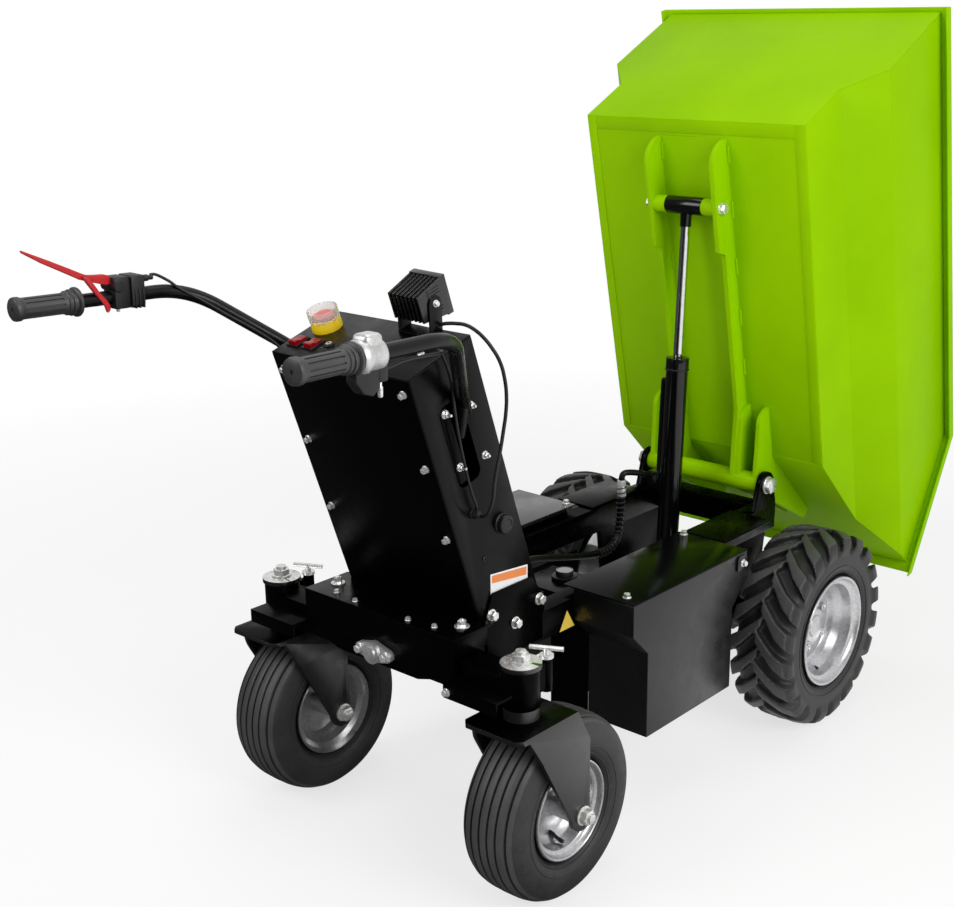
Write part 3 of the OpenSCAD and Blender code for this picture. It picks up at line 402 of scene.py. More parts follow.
# Lead of the work lamp, from the lamp's back down to the gland on the column's side
leadSet = {
    "diameter": 0.006,
    "length": 0.402,
    "route": [(-881, -104.5, 952), (-879, -117, 955), (-874, -131, 956), (-868, -146, 955), (-865, -163, 949),
              (-861, -178, 938), (-855, -190, 922), (-846, -198, 900), (-839, -201, 873), (-836, -202, 844),
              (-838, -202, 816), (-843, -201, 788), (-849, -200, 760), (-856, -199, 732), (-862, -198, 706),
              (-865, -198, 684), (-867, -194, 666), (-868, -186, 652), (-868, -176, 647), (-868, -168, 647)],
}
leadCurve = bpy.data.curves.new("lamp_lead_cord", "CURVE")
leadCurve.dimensions = "3D"
leadCurve.bevel_depth = leadSet["diameter"] / 2
leadCurve.bevel_resolution = 3
leadCurve.resolution_u = 6
leadCurve.use_fill_caps = True
leadLine = leadCurve.splines.new("BEZIER")
leadLine.bezier_points.add(len(leadSet["route"]) - 1)
for bend, place in zip(leadLine.bezier_points, leadSet["route"]):
    bend.co = spot(*place)
    bend.handle_left_type = "AUTO"
    bend.handle_right_type = "AUTO"
lampLead = bpy.data.objects.new("lamp_lead_cord", leadCurve)
bpy.context.scene.collection.objects.link(lampLead)
print("lamp lead laid")

# Control cables, from the brake clamp and the throttle along the bars into the column
cableSet = {
    "diameter": 0.005,
    "left": [(-1122, 304, 1018), (-1111, 303, 1016.5), (-1091, 298, 1004), (-1079, 288, 991.5),
             (-1044, 268, 966), (-1021, 249, 946), (-990, 223, 921), (-966, 196, 896), (-955, 176, 872),
             (-951, 165, 860), (-950, 157.5, 854)],
    "right": [(-1208, -307, 966), (-1180, -307, 969), (-1147, -305, 972), (-1060, -279, 962),
              (-1000, -216, 948), (-968, -184, 940), (-946, -172, 922), (-924, -166.5, 880),
              (-910, -165, 800), (-892, -164, 730), (-880, -164, 690), (-871, -166, 664), (-868, -163, 656)],
}
controlCables = []
for side in sides:
    cableRoute = smoothRoute([spot(*point) for point in cableSet[side]], 5)
    cable = lineAlong(f"control_cable_{side}", cableRoute, cableSet["diameter"])
    controlCables.append(cable)
print("control cables laid")


# Effects that several finishes share

def newGroup(name, inputs):
    # each effect gives a colour, a roughness and a height, from the object's own coordinates
    group = bpy.data.node_groups.new(name, "ShaderNodeTree")
    for label, value in inputs.items():
        shade = isinstance(value, tuple)
        kind = "NodeSocketColor" if shade else "NodeSocketFloat"
        socket = group.interface.new_socket(label, in_out="INPUT", socket_type=kind)
        socket.default_value = (*value, 1) if shade else value
    group.interface.new_socket("Colour", in_out="OUTPUT", socket_type="NodeSocketColor")
    for label in ("Roughness", "Height"):
        group.interface.new_socket(label, in_out="OUTPUT", socket_type="NodeSocketFloat")
    into, out = group.nodes.new("NodeGroupInput"), group.nodes.new("NodeGroupOutput")
    return group, into.outputs, out.inputs, group.nodes.new("ShaderNodeTexCoord").outputs["Object"]


def noiseIn(tree, coords, scale, detail, roughness=0.5):
    noise = tree.nodes.new("ShaderNodeTexNoise")
    noise.inputs["Scale"].default_value = scale
    noise.inputs["Detail"].default_value = detail
    noise.inputs["Roughness"].default_value = roughness
    tree.links.new(coords, noise.inputs["Vector"])
    return noise.outputs["Fac"]


def rangeOf(tree, value, low, high, toLow, toHigh):
    spread = tree.nodes.new("ShaderNodeMapRange")
    spread.inputs["From Min"].default_value = low
    spread.inputs["From Max"].default_value = high
    for label, end in (("To Min", toLow), ("To Max", toHigh)):
        if isinstance(end, (int, float)):
            spread.inputs[label].default_value = end
        else:
            tree.links.new(end, spread.inputs[label])
    tree.links.new(value, spread.inputs["Value"])
    return spread.outputs["Result"]


def mathOf(tree, operation, first, second):
    step = tree.nodes.new("ShaderNodeMath")
    step.operation = operation
    for socket, value in zip(step.inputs, (first, second)):
        if isinstance(value, (int, float)):
            socket.default_value = value
        else:
            tree.links.new(value, socket)
    return step.outputs["Value"]


def mixOf(tree, mask, first, second):
    # the mix node's colour sockets go by number, as its other sockets have the same names
    mix = tree.nodes.new("ShaderNodeMix")
    mix.data_type = "RGBA"
    tree.links.new(mask, mix.inputs["Factor"])
    tree.links.new(first, mix.inputs[6])
    tree.links.new(second, mix.inputs[7])
    return mix.outputs[2]


def makeCoatGrain():
    # stoved powder coat: cloudy shade, orange peel and patchy gloss
    group, into, out, coords = newGroup("coatGrain", {
        "Light": (1, 1, 1), "Deep": (0, 0, 0), "Gloss Low": 0.3, "Gloss High": 0.4})
    cloud = rangeOf(group, noiseIn(group, coords, 5, 5), 0.35, 0.65, 0, 1)
    group.links.new(mixOf(group, cloud, into["Deep"], into["Light"]), out["Colour"])
    patch = noiseIn(group, coords, 34, 6, 0.62)
    gloss = rangeOf(group, patch, 0.35, 0.65, into["Gloss Low"], into["Gloss High"])
    group.links.new(gloss, out["Roughness"])
    peel = noiseIn(group, coords, 420, 2)
    wave = noiseIn(group, coords, 60, 2)
    group.links.new(mathOf(group, "ADD", peel, mathOf(group, "MULTIPLY", wave, 2.0)), out["Height"])
    return group


def makeRubberBloom():
    # moulded rubber: grey bloom in clouds, fine dust and a leathery skin
    group, into, out, coords = newGroup("rubberBloom", {
        "Rubber": (0, 0, 0), "Bloom": (1, 1, 1), "Amount": 0.5})
    cloud = rangeOf(group, noiseIn(group, coords, 9, 6, 0.6), 0.35, 0.7, 0, 1)
    speck = rangeOf(group, noiseIn(group, coords, 240, 4, 0.7), 0.42, 0.75, 0.35, 1)
    veil = mathOf(group, "MULTIPLY", mathOf(group, "MULTIPLY", cloud, speck), into["Amount"])
    group.links.new(mixOf(group, veil, into["Rubber"], into["Bloom"]), out["Colour"])
    group.links.new(rangeOf(group, veil, 0, 1, 0.46, 0.8), out["Roughness"])
    group.links.new(noiseIn(group, coords, 520, 5, 0.65), out["Height"])
    return group


def makeZincSpangle():
    # zinc plating: crystals of slightly different shade, cloudy gloss
    group, into, out, coords = newGroup("zincSpangle", {
        "Bright": (1, 1, 1), "Dull": (0.5, 0.5, 0.5), "Gloss Low": 0.25, "Gloss High": 0.45})
    crystals = group.nodes.new("ShaderNodeTexVoronoi")
    crystals.inputs["Scale"].default_value = 160
    group.links.new(coords, crystals.inputs["Vector"])
    shade = mathOf(group, "MULTIPLY", crystals.outputs["Distance"], noiseIn(group, coords, 20, 5, 0.6))
    mask = rangeOf(group, shade, 0.05, 0.5, 0, 1)
    group.links.new(mixOf(group, mask, into["Bright"], into["Dull"]), out["Colour"])
    cloud = noiseIn(group, coords, 45, 5, 0.6)
    gloss = rangeOf(group, cloud, 0.3, 0.7, into["Gloss Low"], into["Gloss High"])
    group.links.new(gloss, out["Roughness"])
    group.links.new(noiseIn(group, coords, 300, 4), out["Height"])
    return group


coatGrain = makeCoatGrain()
rubberBloom = makeRubberBloom()
zincSpangle = makeZincSpangle()
print("shared effects made")


# Finishes

reliefDepth = 0.0004


def newFinish(name, group, values, bump, specular=0.5, metallic=0.0):
    finish = bpy.data.materials.new(name)
    finish.use_nodes = True
    tree = finish.node_tree
    shader = tree.nodes["Principled BSDF"]
    shader.inputs["Metallic"].default_value = metallic
    shader.inputs["Specular IOR Level"].default_value = specular
    effect = tree.nodes.new("ShaderNodeGroup")
    effect.node_tree = group
    for label, value in values.items():
        effect.inputs[label].default_value = (*value, 1) if isinstance(value, tuple) else value
    tree.links.new(effect.outputs["Colour"], shader.inputs["Base Color"])
    tree.links.new(effect.outputs["Roughness"], shader.inputs["Roughness"])
    relief = tree.nodes.new("ShaderNodeBump")
    relief.inputs["Strength"].default_value = bump
    relief.inputs["Distance"].default_value = reliefDepth
    tree.links.new(effect.outputs["Height"], relief.inputs["Height"])
    tree.links.new(relief.outputs["Normal"], shader.inputs["Normal"])
    return finish


def paintOf(name, light, deep, gloss, bump, specular=0.5):
    values = {"Light": light, "Deep": deep, "Gloss Low": gloss[0], "Gloss High": gloss[1]}
    return newFinish(name, coatGrain, values, bump, specular)


def rubberOf(name, rubber, bloom, amount, bump, specular=0.5):
    return newFinish(name, rubberBloom, {"Rubber": rubber, "Bloom": bloom, "Amount": amount}, bump, specular)


def metalOf(name, bright, dull, gloss, bump, metallic):
    values = {"Bright": bright, "Dull": dull, "Gloss Low": gloss[0], "Gloss High": gloss[1]}
    return newFinish(name, zincSpangle, values, bump, metallic=metallic)


def grey(level, blue):
    return (level, level, blue)


limePaint = paintOf("limePaint", (0.292, 0.580, 0.0), (0.262, 0.535, 0.0),
                    gloss=(0.40, 0.50), bump=0.10, specular=0.03)
columnPaint = paintOf("columnPaint", grey(0.0010, 0.0011), grey(0.0005, 0.0006),
                      gloss=(0.28, 0.40), bump=0.12, specular=0.18)
coverPaint = paintOf("coverPaint", grey(0.0006, 0.0007), grey(0.0003, 0.0004),
                     gloss=(0.30, 0.42), bump=0.12, specular=0.10)
framePaint = paintOf("framePaint", grey(0.0008, 0.0009), grey(0.0004, 0.0005),
                     gloss=(0.20, 0.32), bump=0.12, specular=0.06)
blackPaint = paintOf("blackPaint", grey(0.0030, 0.0033), grey(0.0015, 0.0018),
                     gloss=(0.24, 0.36), bump=0.12, specular=0.24)
boxPaint = paintOf("boxPaint", grey(0.0060, 0.0064), grey(0.0035, 0.0038),
                   gloss=(0.26, 0.38), bump=0.12, specular=0.55)
# a brighter, very glossy copy of the black paint: painted sheen on the forks' side plates and the caster caps
forkSheenPaint = paintOf("forkSheenPaint", grey(0.0040, 0.0043), grey(0.0020, 0.0022),
                    gloss=(0.26, 0.38), bump=0.12, specular=1.0)
barrelPaint = paintOf("barrelPaint", grey(0.0030, 0.0033), grey(0.0015, 0.0018),
                      gloss=(0.10, 0.18), bump=0.05)
lidPaint = paintOf("lidPaint", grey(0.0030, 0.0033), grey(0.0015, 0.0018),
                   gloss=(0.12, 0.20), bump=0.05, specular=0.05)
# a paler, glossier copy of the lid paint: painted reflection on the left lid
lidSheenPaint = paintOf("lidSheenPaint", grey(0.0140, 0.0144), grey(0.0100, 0.0104),
                    gloss=(0.16, 0.26), bump=0.08, specular=0.85)
lampBlack = paintOf("lampBlack", grey(0.0030, 0.0033), grey(0.0012, 0.0014),
                    gloss=(0.22, 0.34), bump=0.08, specular=0.8)
tyreRubber = rubberOf("tyreRubber", grey(0.012, 0.012), (0.060, 0.058, 0.055),
                      amount=0.45, bump=0.35, specular=0.42)
casterRubber = rubberOf("casterRubber", grey(0.020, 0.020), (0.085, 0.084, 0.082),
                        amount=0.45, bump=0.3, specular=0.45)
treadRubber = rubberOf("treadRubber", grey(0.040, 0.040), (0.130, 0.128, 0.125), amount=0.5, bump=0.35)
gripRubber = rubberOf("gripRubber", grey(0.015, 0.016), grey(0.085, 0.087),
                      amount=0.45, bump=0.3, specular=0.8)
mouldedBlack = rubberOf("mouldedBlack", grey(0.006, 0.007), grey(0.024, 0.026),
                        amount=0.3, bump=0.25, specular=0.45)
rimSilver = metalOf("rimSilver", grey(0.66, 0.67), grey(0.50, 0.51),
                    gloss=(0.26, 0.40), bump=0.10, metallic=0.9)
zincSteel = metalOf("zincSteel", (0.92, 0.91, 0.89), grey(0.62, 0.61),
                    gloss=(0.20, 0.36), bump=0.12, metallic=0.7)
chromeRod = metalOf("chromeRod", (0.82, 0.83, 0.84), (0.70, 0.71, 0.72),
                    gloss=(0.08, 0.16), bump=0.03, metallic=1.0)
castSilver = metalOf("castSilver", grey(0.74, 0.74), grey(0.56, 0.56),
                     gloss=(0.36, 0.5), bump=0.2, metallic=0.8)
leverRed = paintOf("leverRed", (0.62, 0.018, 0.022), (0.50, 0.012, 0.016), gloss=(0.30, 0.42), bump=0.08)
switchRed = paintOf("switchRed", (0.26, 0.0015, 0.004), (0.18, 0.001, 0.003),
                    gloss=(0.10, 0.16), bump=0.03, specular=0.3)
guardYellow = paintOf("guardYellow", (0.88, 0.62, 0.008), (0.80, 0.54, 0.005), gloss=(0.22, 0.32), bump=0.05)
lensClear = paintOf("lensClear", (0.92, 0.94, 0.95), (0.86, 0.88, 0.90), gloss=(0.05, 0.10), bump=0.02)
buttonRed = paintOf("buttonRed", (0.74, 0.16, 0.12), (0.62, 0.10, 0.08), gloss=(0.24, 0.36), bump=0.05)
plateWhite = paintOf("plateWhite", grey(0.86, 0.86), grey(0.80, 0.80), gloss=(0.28, 0.40), bump=0.03)
plateOrange = paintOf("plateOrange", (0.82, 0.25, 0.06), (0.74, 0.20, 0.04), gloss=(0.28, 0.40), bump=0.03)
signYellow = paintOf("signYellow", (0.86, 0.62, 0.10), (0.78, 0.54, 0.07), gloss=(0.28, 0.40), bump=0.03)
capGrey = rubberOf("capGrey", grey(0.34, 0.34), grey(0.46, 0.46), amount=0.5, bump=0.2)
brass = metalOf("brass", (0.72, 0.50, 0.20), (0.52, 0.34, 0.12), gloss=(0.22, 0.36), bump=0.10, metallic=1.0)
collarClear = paintOf("collarClear", grey(0.90, 0.88), grey(0.82, 0.80), gloss=(0.14, 0.22), bump=0.03)
collarShader = collarClear.node_tree.nodes["Principled BSDF"]
collarShader.inputs["Transmission Weight"].default_value = 0.75
collarShader.inputs["IOR"].default_value = 1.25
print("finishes mixed")


# Studio: pale floor, white surroundings, soft light from above and from both sides

studioSet = {
    "floor": 60.0, "fade": (1.6, 3.4), "shade": 0.70, "brightSide": (-0.1, 0.7), "darkSide": 0.06,
    "around": 0.42, "turn": (-0.3, 0.4), "behind": 0.12, "mirrored": 0.80,
}


def rayKinds(tree):
    # rays that see straight or through the clear collar, and mirrored rays
    path = tree.nodes.new("ShaderNodeLightPath").outputs
    return mathOf(tree, "MAXIMUM", path["Is Camera Ray"], path["Is Transmission Ray"]), path["Is Glossy Ray"]


bpy.ops.mesh.primitive_plane_add(size=studioSet["floor"], location=(0, 0, 0))
studioFloor = bpy.context.object
studioFloor.name = "studio_floor"
floorPaint = bpy.data.materials.new("floorPaint")
floorPaint.use_nodes = True
floorTree = floorPaint.node_tree
floorShader = floorTree.nodes["Principled BSDF"]
floorShader.inputs["Base Color"].default_value = (0.93, 0.93, 0.93, 1)
floorShader.inputs["Roughness"].default_value = 0.8
floorShader.inputs["Specular IOR Level"].default_value = 0.1
floorStraight, floorGlossy = rayKinds(floorTree)
floorPoint = floorTree.nodes.new("ShaderNodeTexCoord").outputs["Object"]
floorAway = floorTree.nodes.new("ShaderNodeVectorMath")  # distance from under the machine
floorAway.operation = "LENGTH"
floorTree.links.new(floorPoint, floorAway.inputs[0])
floorFade = rangeOf(floorTree, floorAway.outputs["Value"], *studioSet["fade"], studioSet["shade"], 1.0)
floorSplit = floorTree.nodes.new("ShaderNodeSeparateXYZ")  # mirrored, the floor is bright on the right only
floorTree.links.new(floorPoint, floorSplit.inputs["Vector"])
floorRight = mathOf(floorTree, "SUBTRACT", floorSplit.outputs["X"], floorSplit.outputs["Y"])
floorMirrored = rangeOf(floorTree, floorRight, *studioSet["brightSide"], studioSet["darkSide"], 1.0)
floorGlow = floorTree.nodes.new("ShaderNodeEmission")
floorTree.links.new(mathOf(floorTree, "MAXIMUM", floorStraight, floorMirrored), floorGlow.inputs["Strength"])
floorFaded = mathOf(floorTree, "MULTIPLY", floorFade, floorStraight)
floorMix = floorTree.nodes.new("ShaderNodeMixShader")
floorTree.links.new(mathOf(floorTree, "MAXIMUM", floorFaded, floorGlossy), floorMix.inputs["Fac"])
floorTree.links.new(floorShader.outputs["BSDF"], floorMix.inputs[1])
floorTree.links.new(floorGlow.outputs["Emission"], floorMix.inputs[2])
floorTree.links.new(floorMix.outputs["Shader"], floorTree.nodes["Material Output"].inputs["Surface"])
dressedIn(studioFloor, floorPaint)

studioWorld = bpy.data.worlds.new("studioWorld")
studioWorld.use_nodes = True
bpy.context.scene.world = studioWorld
worldTree = studioWorld.node_tree
worldTree.nodes.clear()
straight, glossyRay = rayKinds(worldTree)
worldWay = worldTree.nodes.new("ShaderNodeSeparateXYZ")  # mirrored, the surroundings are dark behind
worldTree.links.new(worldTree.nodes.new("ShaderNodeTexCoord").outputs["Generated"], worldWay.inputs["Vector"])
worldMirrored = rangeOf(worldTree, worldWay.outputs["X"], *studioSet["turn"],
                        studioSet["behind"], studioSet["mirrored"])
glossy = mathOf(worldTree, "MULTIPLY", glossyRay, worldMirrored)
plain = mathOf(worldTree, "MULTIPLY", mathOf(worldTree, "SUBTRACT", 1.0, glossyRay), studioSet["around"])
backing = worldTree.nodes.new("ShaderNodeBackground")
backing.inputs["Color"].default_value = (1, 1, 1, 1)
shown = mathOf(worldTree, "MAXIMUM", straight, glossy)
worldTree.links.new(mathOf(worldTree, "MAXIMUM", shown, plain), backing.inputs["Strength"])
worldOut = worldTree.nodes.new("ShaderNodeOutputWorld")
worldTree.links.new(backing.outputs["Background"], worldOut.inputs["Surface"])


def softbox(name, place, aim, size, power):
    bpy.ops.object.light_add(type="AREA", location=place)
    lamp = bpy.context.object
    lamp.name = name
    lamp.data.shape = "RECTANGLE"
    lamp.data.size, lamp.data.size_y = size
    lamp.data.energy = power
    lamp.rotation_euler = (Vector(aim) - Vector(place)).to_track_quat("-Z", "Y").to_euler()


softbox("right_light", place=(-0.9, -3.6, 2.6), aim=(0.1, 0, 0.7), size=(2.6, 1.8), power=95)
softbox("left_light", place=(-3.2, 1.4, 2.8), aim=(0, 0, 0.6), size=(2.0, 2.0), power=54)
softbox("top_light", place=(0.6, 0.2, 4.4), aim=(0.1, 0, 0.6), size=(2.6, 2.6), power=34)
print("studio lit")


# CAD pieces with rounded sheet edges: a copy of each node, merged, its flat faces cleaned, its edges broken

def copyOf(node):
    pick(nodes[node])
    bpy.ops.object.duplicate(linked=False)
    piece = bpy.context.object
    del piece["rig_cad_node"]
    piece.parent = None
    piece.name = node + "_formed"
    enterEdit(piece)
    bpy.ops.mesh.remove_doubles(threshold=mergeGap)
    bpy.ops.mesh.dissolve_limited(angle_limit=math.radians(0.6))
    leaveEdit()
    return piece


def formed(node, finish, edge):
    piece = copyOf(node)
    bevelled(piece, edge)
    smoothed(piece)
    return standsFor(piece, finish, node)


def moulded(node, finish, voxel, rounds):
    # rubber: the solid's skin drawn anew with its corners rounded over
    piece = copyOf(node)
    skin = piece.modifiers.new("skin", "REMESH")
    skin.mode = "VOXEL"
    skin.voxel_size = voxel
    bpy.ops.object.modifier_apply(modifier=skin.name)
    ease = piece.modifiers.new("ease", "SMOOTH")
    ease.factor = 0.5
    ease.iterations = rounds
    bpy.ops.object.modifier_apply(modifier=ease.name)
    smoothed(piece, 60)
    return standsFor(piece, finish, node)


formedSet = {
    "frame_rails": (framePaint, 0.0018), "cross_members": (framePaint, 0.0018),
    "rear_deck": (framePaint, 0.0012), "rear_axle": (framePaint, 0.0018),
    "battery_boxes": (boxPaint, 0.0016), "battery_lids": (lidPaint, 0.0012),
    "column_cover": (coverPaint, 0.0010), "top_panel": (columnPaint, 0.0012),
    "column_brackets": (framePaint, 0.0012), "cylinder_mount": (blackPaint, 0.0010),
    "caster_fork_left": (forkSheenPaint, 0.0015), "caster_fork_right": (forkSheenPaint, 0.0015),
    "tub_floor": (limePaint, 0.0004), "tub_front": (limePaint, 0.0006), "tub_rear": (limePaint, 0.0006),
    "tub_side_left": (limePaint, 0.0006), "tub_side_right": (limePaint, 0.0006),
    "tub_rim": (limePaint, 0.0012), "tub_bracket": (limePaint, 0.0010),
    "lamp_body": (lampBlack, 0.0006), "lamp_bracket": (blackPaint, 0.0008),
    "hinge_pin": (zincSteel, 0.0008), "pivot_bearing": (castSilver, 0.0012), "lock_pins": (zincSteel, 0.0008),
    "hydraulic_unit": (blackPaint, 0.0012), "drive_axle": (blackPaint, 0.0020),
    "drive_motor": (mouldedBlack, 0.0020),
    "batteries": (mouldedBlack, 0.0030), "cylinder_barrel": (barrelPaint, 0.0010),
}
sheets = {}
for node, (finish, edge) in formedSet.items():
    sheets[node] = formed(node, finish, edge)
# the left lid takes the paler, glossier copy of the lid paint as a painted reflection
partly(sheets["battery_lids"], lidSheenPaint, lambda face, normal: face.y > 0)
# the forks' top faces take the darker frame paint: painted shade on top, against the painted sheen of the
# side plates
for side in sides:
    partly(sheets[f"caster_fork_{side}"], framePaint, lambda face, normal: abs(normal.z) > 0.7)
print("sheet edges formed:", len(formedSet))

# Tyres: rounded lugs on the drive wheels, ribs on the casters, moulded lines round the sidewalls
tyreSet = {
    "drive": {"finish": tyreRubber, "voxel": 0.0030, "rounds": 3,
              "lines": [(126, 60.8), (139, 65.0)], "line": 1.5, "crownDepth": 0.004},
    "caster": {"finish": casterRubber, "edge": 0.0006,
               "lines": [(99, 52.0), (113, 57.9)], "line": 1.3, "crownDepth": 0.002},
}
axleSet = {"drive": (0, 293, 205), "caster": (-840, 289, 163)}
wheelPlaces = {}
for kind, (x, y, z) in axleSet.items():
    for side, sign in sides.items():
        wheelPlaces[kind, side] = wheelPlace(x, sign * y, z)


def lineRing(radius, height, thick):
    deselect()
    bpy.ops.mesh.primitive_torus_add(major_segments=80, minor_segments=8, major_radius=radius / 1000,
                                     minor_radius=thick / 1000, location=(0, 0, height / 1000))
    settled(bpy.context.object)
    return bpy.context.object


def crownOf(piece, place, depth, rowsPerMetre=250, facing=0.6):
    # the faces on the tread's crown: the highest ones in each row across the tread, facing outwards
    inward = place.inverted()
    tops = {}
    for face in piece.data.polygons:
        point = inward @ face.center
        row = round(abs(point.z) * rowsPerMetre)
        tops[row] = max(tops.get(row, 0), math.hypot(point.x, point.y))

    def touches(middle, normal):
        point = inward @ middle
        radial = Vector((point.x, point.y, 0)).normalized()
        high = math.hypot(point.x, point.y) > tops[round(abs(point.z) * rowsPerMetre)] - depth
        return high and radial.dot((inward.to_3x3() @ normal)) > facing
    return touches


for (kind, side), place in wheelPlaces.items():
    tyre = tyreSet[kind]
    if "voxel" in tyre:
        rubber = moulded(f"{kind}_tyre_{side}", tyre["finish"], tyre["voxel"], tyre["rounds"])
    else:
        rubber = formed(f"{kind}_tyre_{side}", tyre["finish"], tyre["edge"])
    # a lighter rubber on the tread's highest outward faces
    partly(rubber, treadRubber, crownOf(rubber, place, tyre["crownDepth"]))
    rings = [lineRing(radius, face * height, tyre["line"])
             for radius, height in tyre["lines"] for face in signs]
    lines = joined(rings, f"{kind}_tyre_lines_{side}")
    addedAt(lines, place, tyre["finish"], f"{kind}_wheel_{side}", angle=60)
print("tyres moulded")


# Bolts: a hexagon head with a chamfered top on its washer, and a stud's end where it shows

def newBolt(across, height, washer, stud):
    half, foot = washer / 2, 1.5
    disc = turned("bolt", [(half, -1), (half, 1.2), (half - 0.7, 1.9), (across * 0.35, 1.9)], 24)
    deselect()
    bpy.ops.mesh.primitive_cylinder_add(vertices=6, radius=across / math.sqrt(3) / 1000, depth=height / 1000,
                                        location=(0, 0, (height / 2 + foot) / 1000))
    head = bpy.context.object
    settled(head)
    enterEdit(head, lambda middle, normal: normal.z > 0.9)
    bpy.ops.mesh.inset(thickness=across * 0.09 / 1000)
    bpy.ops.transform.translate(value=(0, 0, height * 0.14 / 1000))
    leaveEdit()
    parts = [disc, head]
    if stud:
        top, thick = height + foot + stud, across * 0.29
        parts.append(turned("stud", [(thick, height), (thick, top - 1), (across * 0.24, top)], 14))
    return joined(parts, "bolt")


def boltsAt(name, body, place, rows, across, height, washer, stud=0):
    # rows give each bolt's foot and the way that it points
    pattern = newBolt(across, height, washer, stud)
    copies = []
    for foot, way in rows:
        pick(pattern)
        bpy.ops.object.duplicate(linked=False)
        copies.append(put(bpy.context.object, place @ moveBy(*foot) @ pointing(way)))
    bpy.data.objects.remove(pattern)
    row = joined(copies, name)
    smoothed(row, 30)
    return addedTo(row, zincSteel, body)


# sizes: the head's width across its flats, its height, the washer's diameter and the stud's length if any
rearward, outward, upward = (-1, 0, 0), (0, 1, 0), (0, 0, 1)
boltSet = {
    "cover_bolts": {"place": columnPlace, "feet": [(0, 137, -29), (0, 137, -164), (0, 137, -300)],
                    "way": rearward, "sizes": (10, 6, 14)},
    "bracket_bolts": {"feet": [(-833, 161, 460), (-773, 161, 427), (-710, 161, 451)],
                      "way": outward, "sizes": (15, 8, 22)},
    "lid_bolts": {"feet": [(-254, 150, 440), (-588, 260, 440)], "way": upward, "sizes": (11, 6, 16)},
    "deck_bolts": {"feet": [(-893, 150, 457)], "way": upward, "sizes": (13, 9, 26, 3)},
    "small_deck_bolts": {"feet": [(-932, 64, 457), (-925, 118, 457)], "way": upward, "sizes": (8, 4, 11)},
    "angle_bolts": {"feet": [(-975, 191, 381)], "way": rearward, "sizes": (10, 5, 15), "sides": (-1,)},
    "bearing_bolts": {"feet": [(-955, 31, 388.3)], "way": rearward, "sizes": (13, 7, 18)},
    "box_bolts": {"feet": [(-264, 294.5, 418)], "way": outward, "sizes": (10, 6, 15)},
    "foot_bolts": {"place": columnPlace, "feet": [(108, 156, -106), (109, 156, -200)],
                   "way": outward, "sizes": (9, 5, 14, 5)},
    "strap_bolts": {"place": columnPlace, "feet": [(55, 152, -93), (55, 152, -191)],
                    "way": outward, "sizes": (9, 5, 15, 8)},
    "lamp_bolts": {"place": lampPlace, "feet": [(-3, 38.3, 50)], "way": outward, "sizes": (8, 4, 12)},
    "pin_bolts": {"place": tubPlace, "body": "bed", "feet": [(-555, 83, -38)],
                  "way": outward, "sizes": (19, 9, 24)},
}
for name, row in boltSet.items():
    chosen = row.get("sides", signs)
    ways = onSides([row["way"]] * len(row["feet"]), chosen)
    boltsAt(name, row.get("body", "root"), row.get("place", machinePlace),
            zip(onSides(row["feet"], chosen), ways), *row["sizes"])
print("bolts set")

# Tabs on the boxes' outer sides under their front bolts
tabSet = {"outline": [(-280, 404), (-252, 404), (-248, 412), (-248, 428), (-256, 434), (-274, 434),
                      (-280, 428)], "from": 291, "thick": 3.5}
tabParts = []
for side in signs:
    outline = [(x, side * tabSet["from"], z) for x, z in tabSet["outline"]]
    tabParts.append(plateOf("box_tab", outline, (0, side * tabSet["thick"], 0)))
addedAt(joined(tabParts, "box_tabs"), machinePlace, boxPaint, edge=0.0008)

# Skirts: thin sheet under each rail, inside the battery box
skirtWalls = [((-564, 92, 168), (-289, 94, 360)), ((-564, 66, 168), (-562, 155, 360))]
skirtParts = [sidedBlock("skirt", side, low, high) for side in signs for low, high in skirtWalls]
addedAt(joined(skirtParts, "box_skirts"), machinePlace, coverPaint)

# Rims: rolled lips, stepped barrel, dished disc and hub
rimSet = {}
rimSet["drive"] = {
    "outline": [(37, -77), (37, -5), (82, -5), (83.5, -15), (96, -30), (96.5, -50), (101, -54), (106, -56),
                (110.5, -63), (113.5, -66), (116, -64.5), (116, -61), (102, -47.5), (101.5, -30), (87.5, -16),
                (87.5, 16), (101.5, 30), (102, 47.5), (116, 61), (116.4, 63.5), (115.2, 65.5), (113, 66),
                (110.8, 64.6), (109.4, 61.5), (107, 57), (104, 54.6), (100.6, 53.8), (98.2, 52.4),
                (96.8, 49.5), (95.6, 34), (94, 30.5), (85.5, 19), (83, 15), (81, 8), (78.5, 5), (68, 3.6),
                (60, 4.8), (40, 5.2), (37.5, 6.5), (36.6, 17), (34.5, 20), (24, 20.5), (22.5, 23),
                (19.5, 24.5), (14, 25)],
    "bolts": 5, "circle": 100, "across": 17, "height": 11, "valve": 88,
}
rimSet["caster"] = {
    "outline": [(19, -66.7), (19, -3.4), (60, -3.4), (63, -8), (71, -16), (72, -36), (76, -39), (81, -42),
                (84.6, -49), (86.6, -52), (88, -50.5), (88, -47.5), (77, -34), (76, -16), (67, -7),
                (67, 7), (76, 16), (77, 34), (88, 47.5), (88.3, 49.8), (87.2, 51.6), (85.4, 52),
                (83.6, 50.6), (82, 46), (79, 42.4), (75.4, 41), (73, 39), (71.8, 35), (71, 18), (69.4, 15),
                (63, 8.5), (60, 5), (54, 3), (40, 3.4), (30, 6), (24, 10), (21.5, 15), (19, 18),
                (19, 66.7), (16, 66.7)],
    "bolts": 0, "valve": 60,
}
valveOutline = [(4.6, -2), (4.6, 6), (3.4, 9), (3, 18), (3.6, 19), (3.6, 27), (2.6, 28.5)]


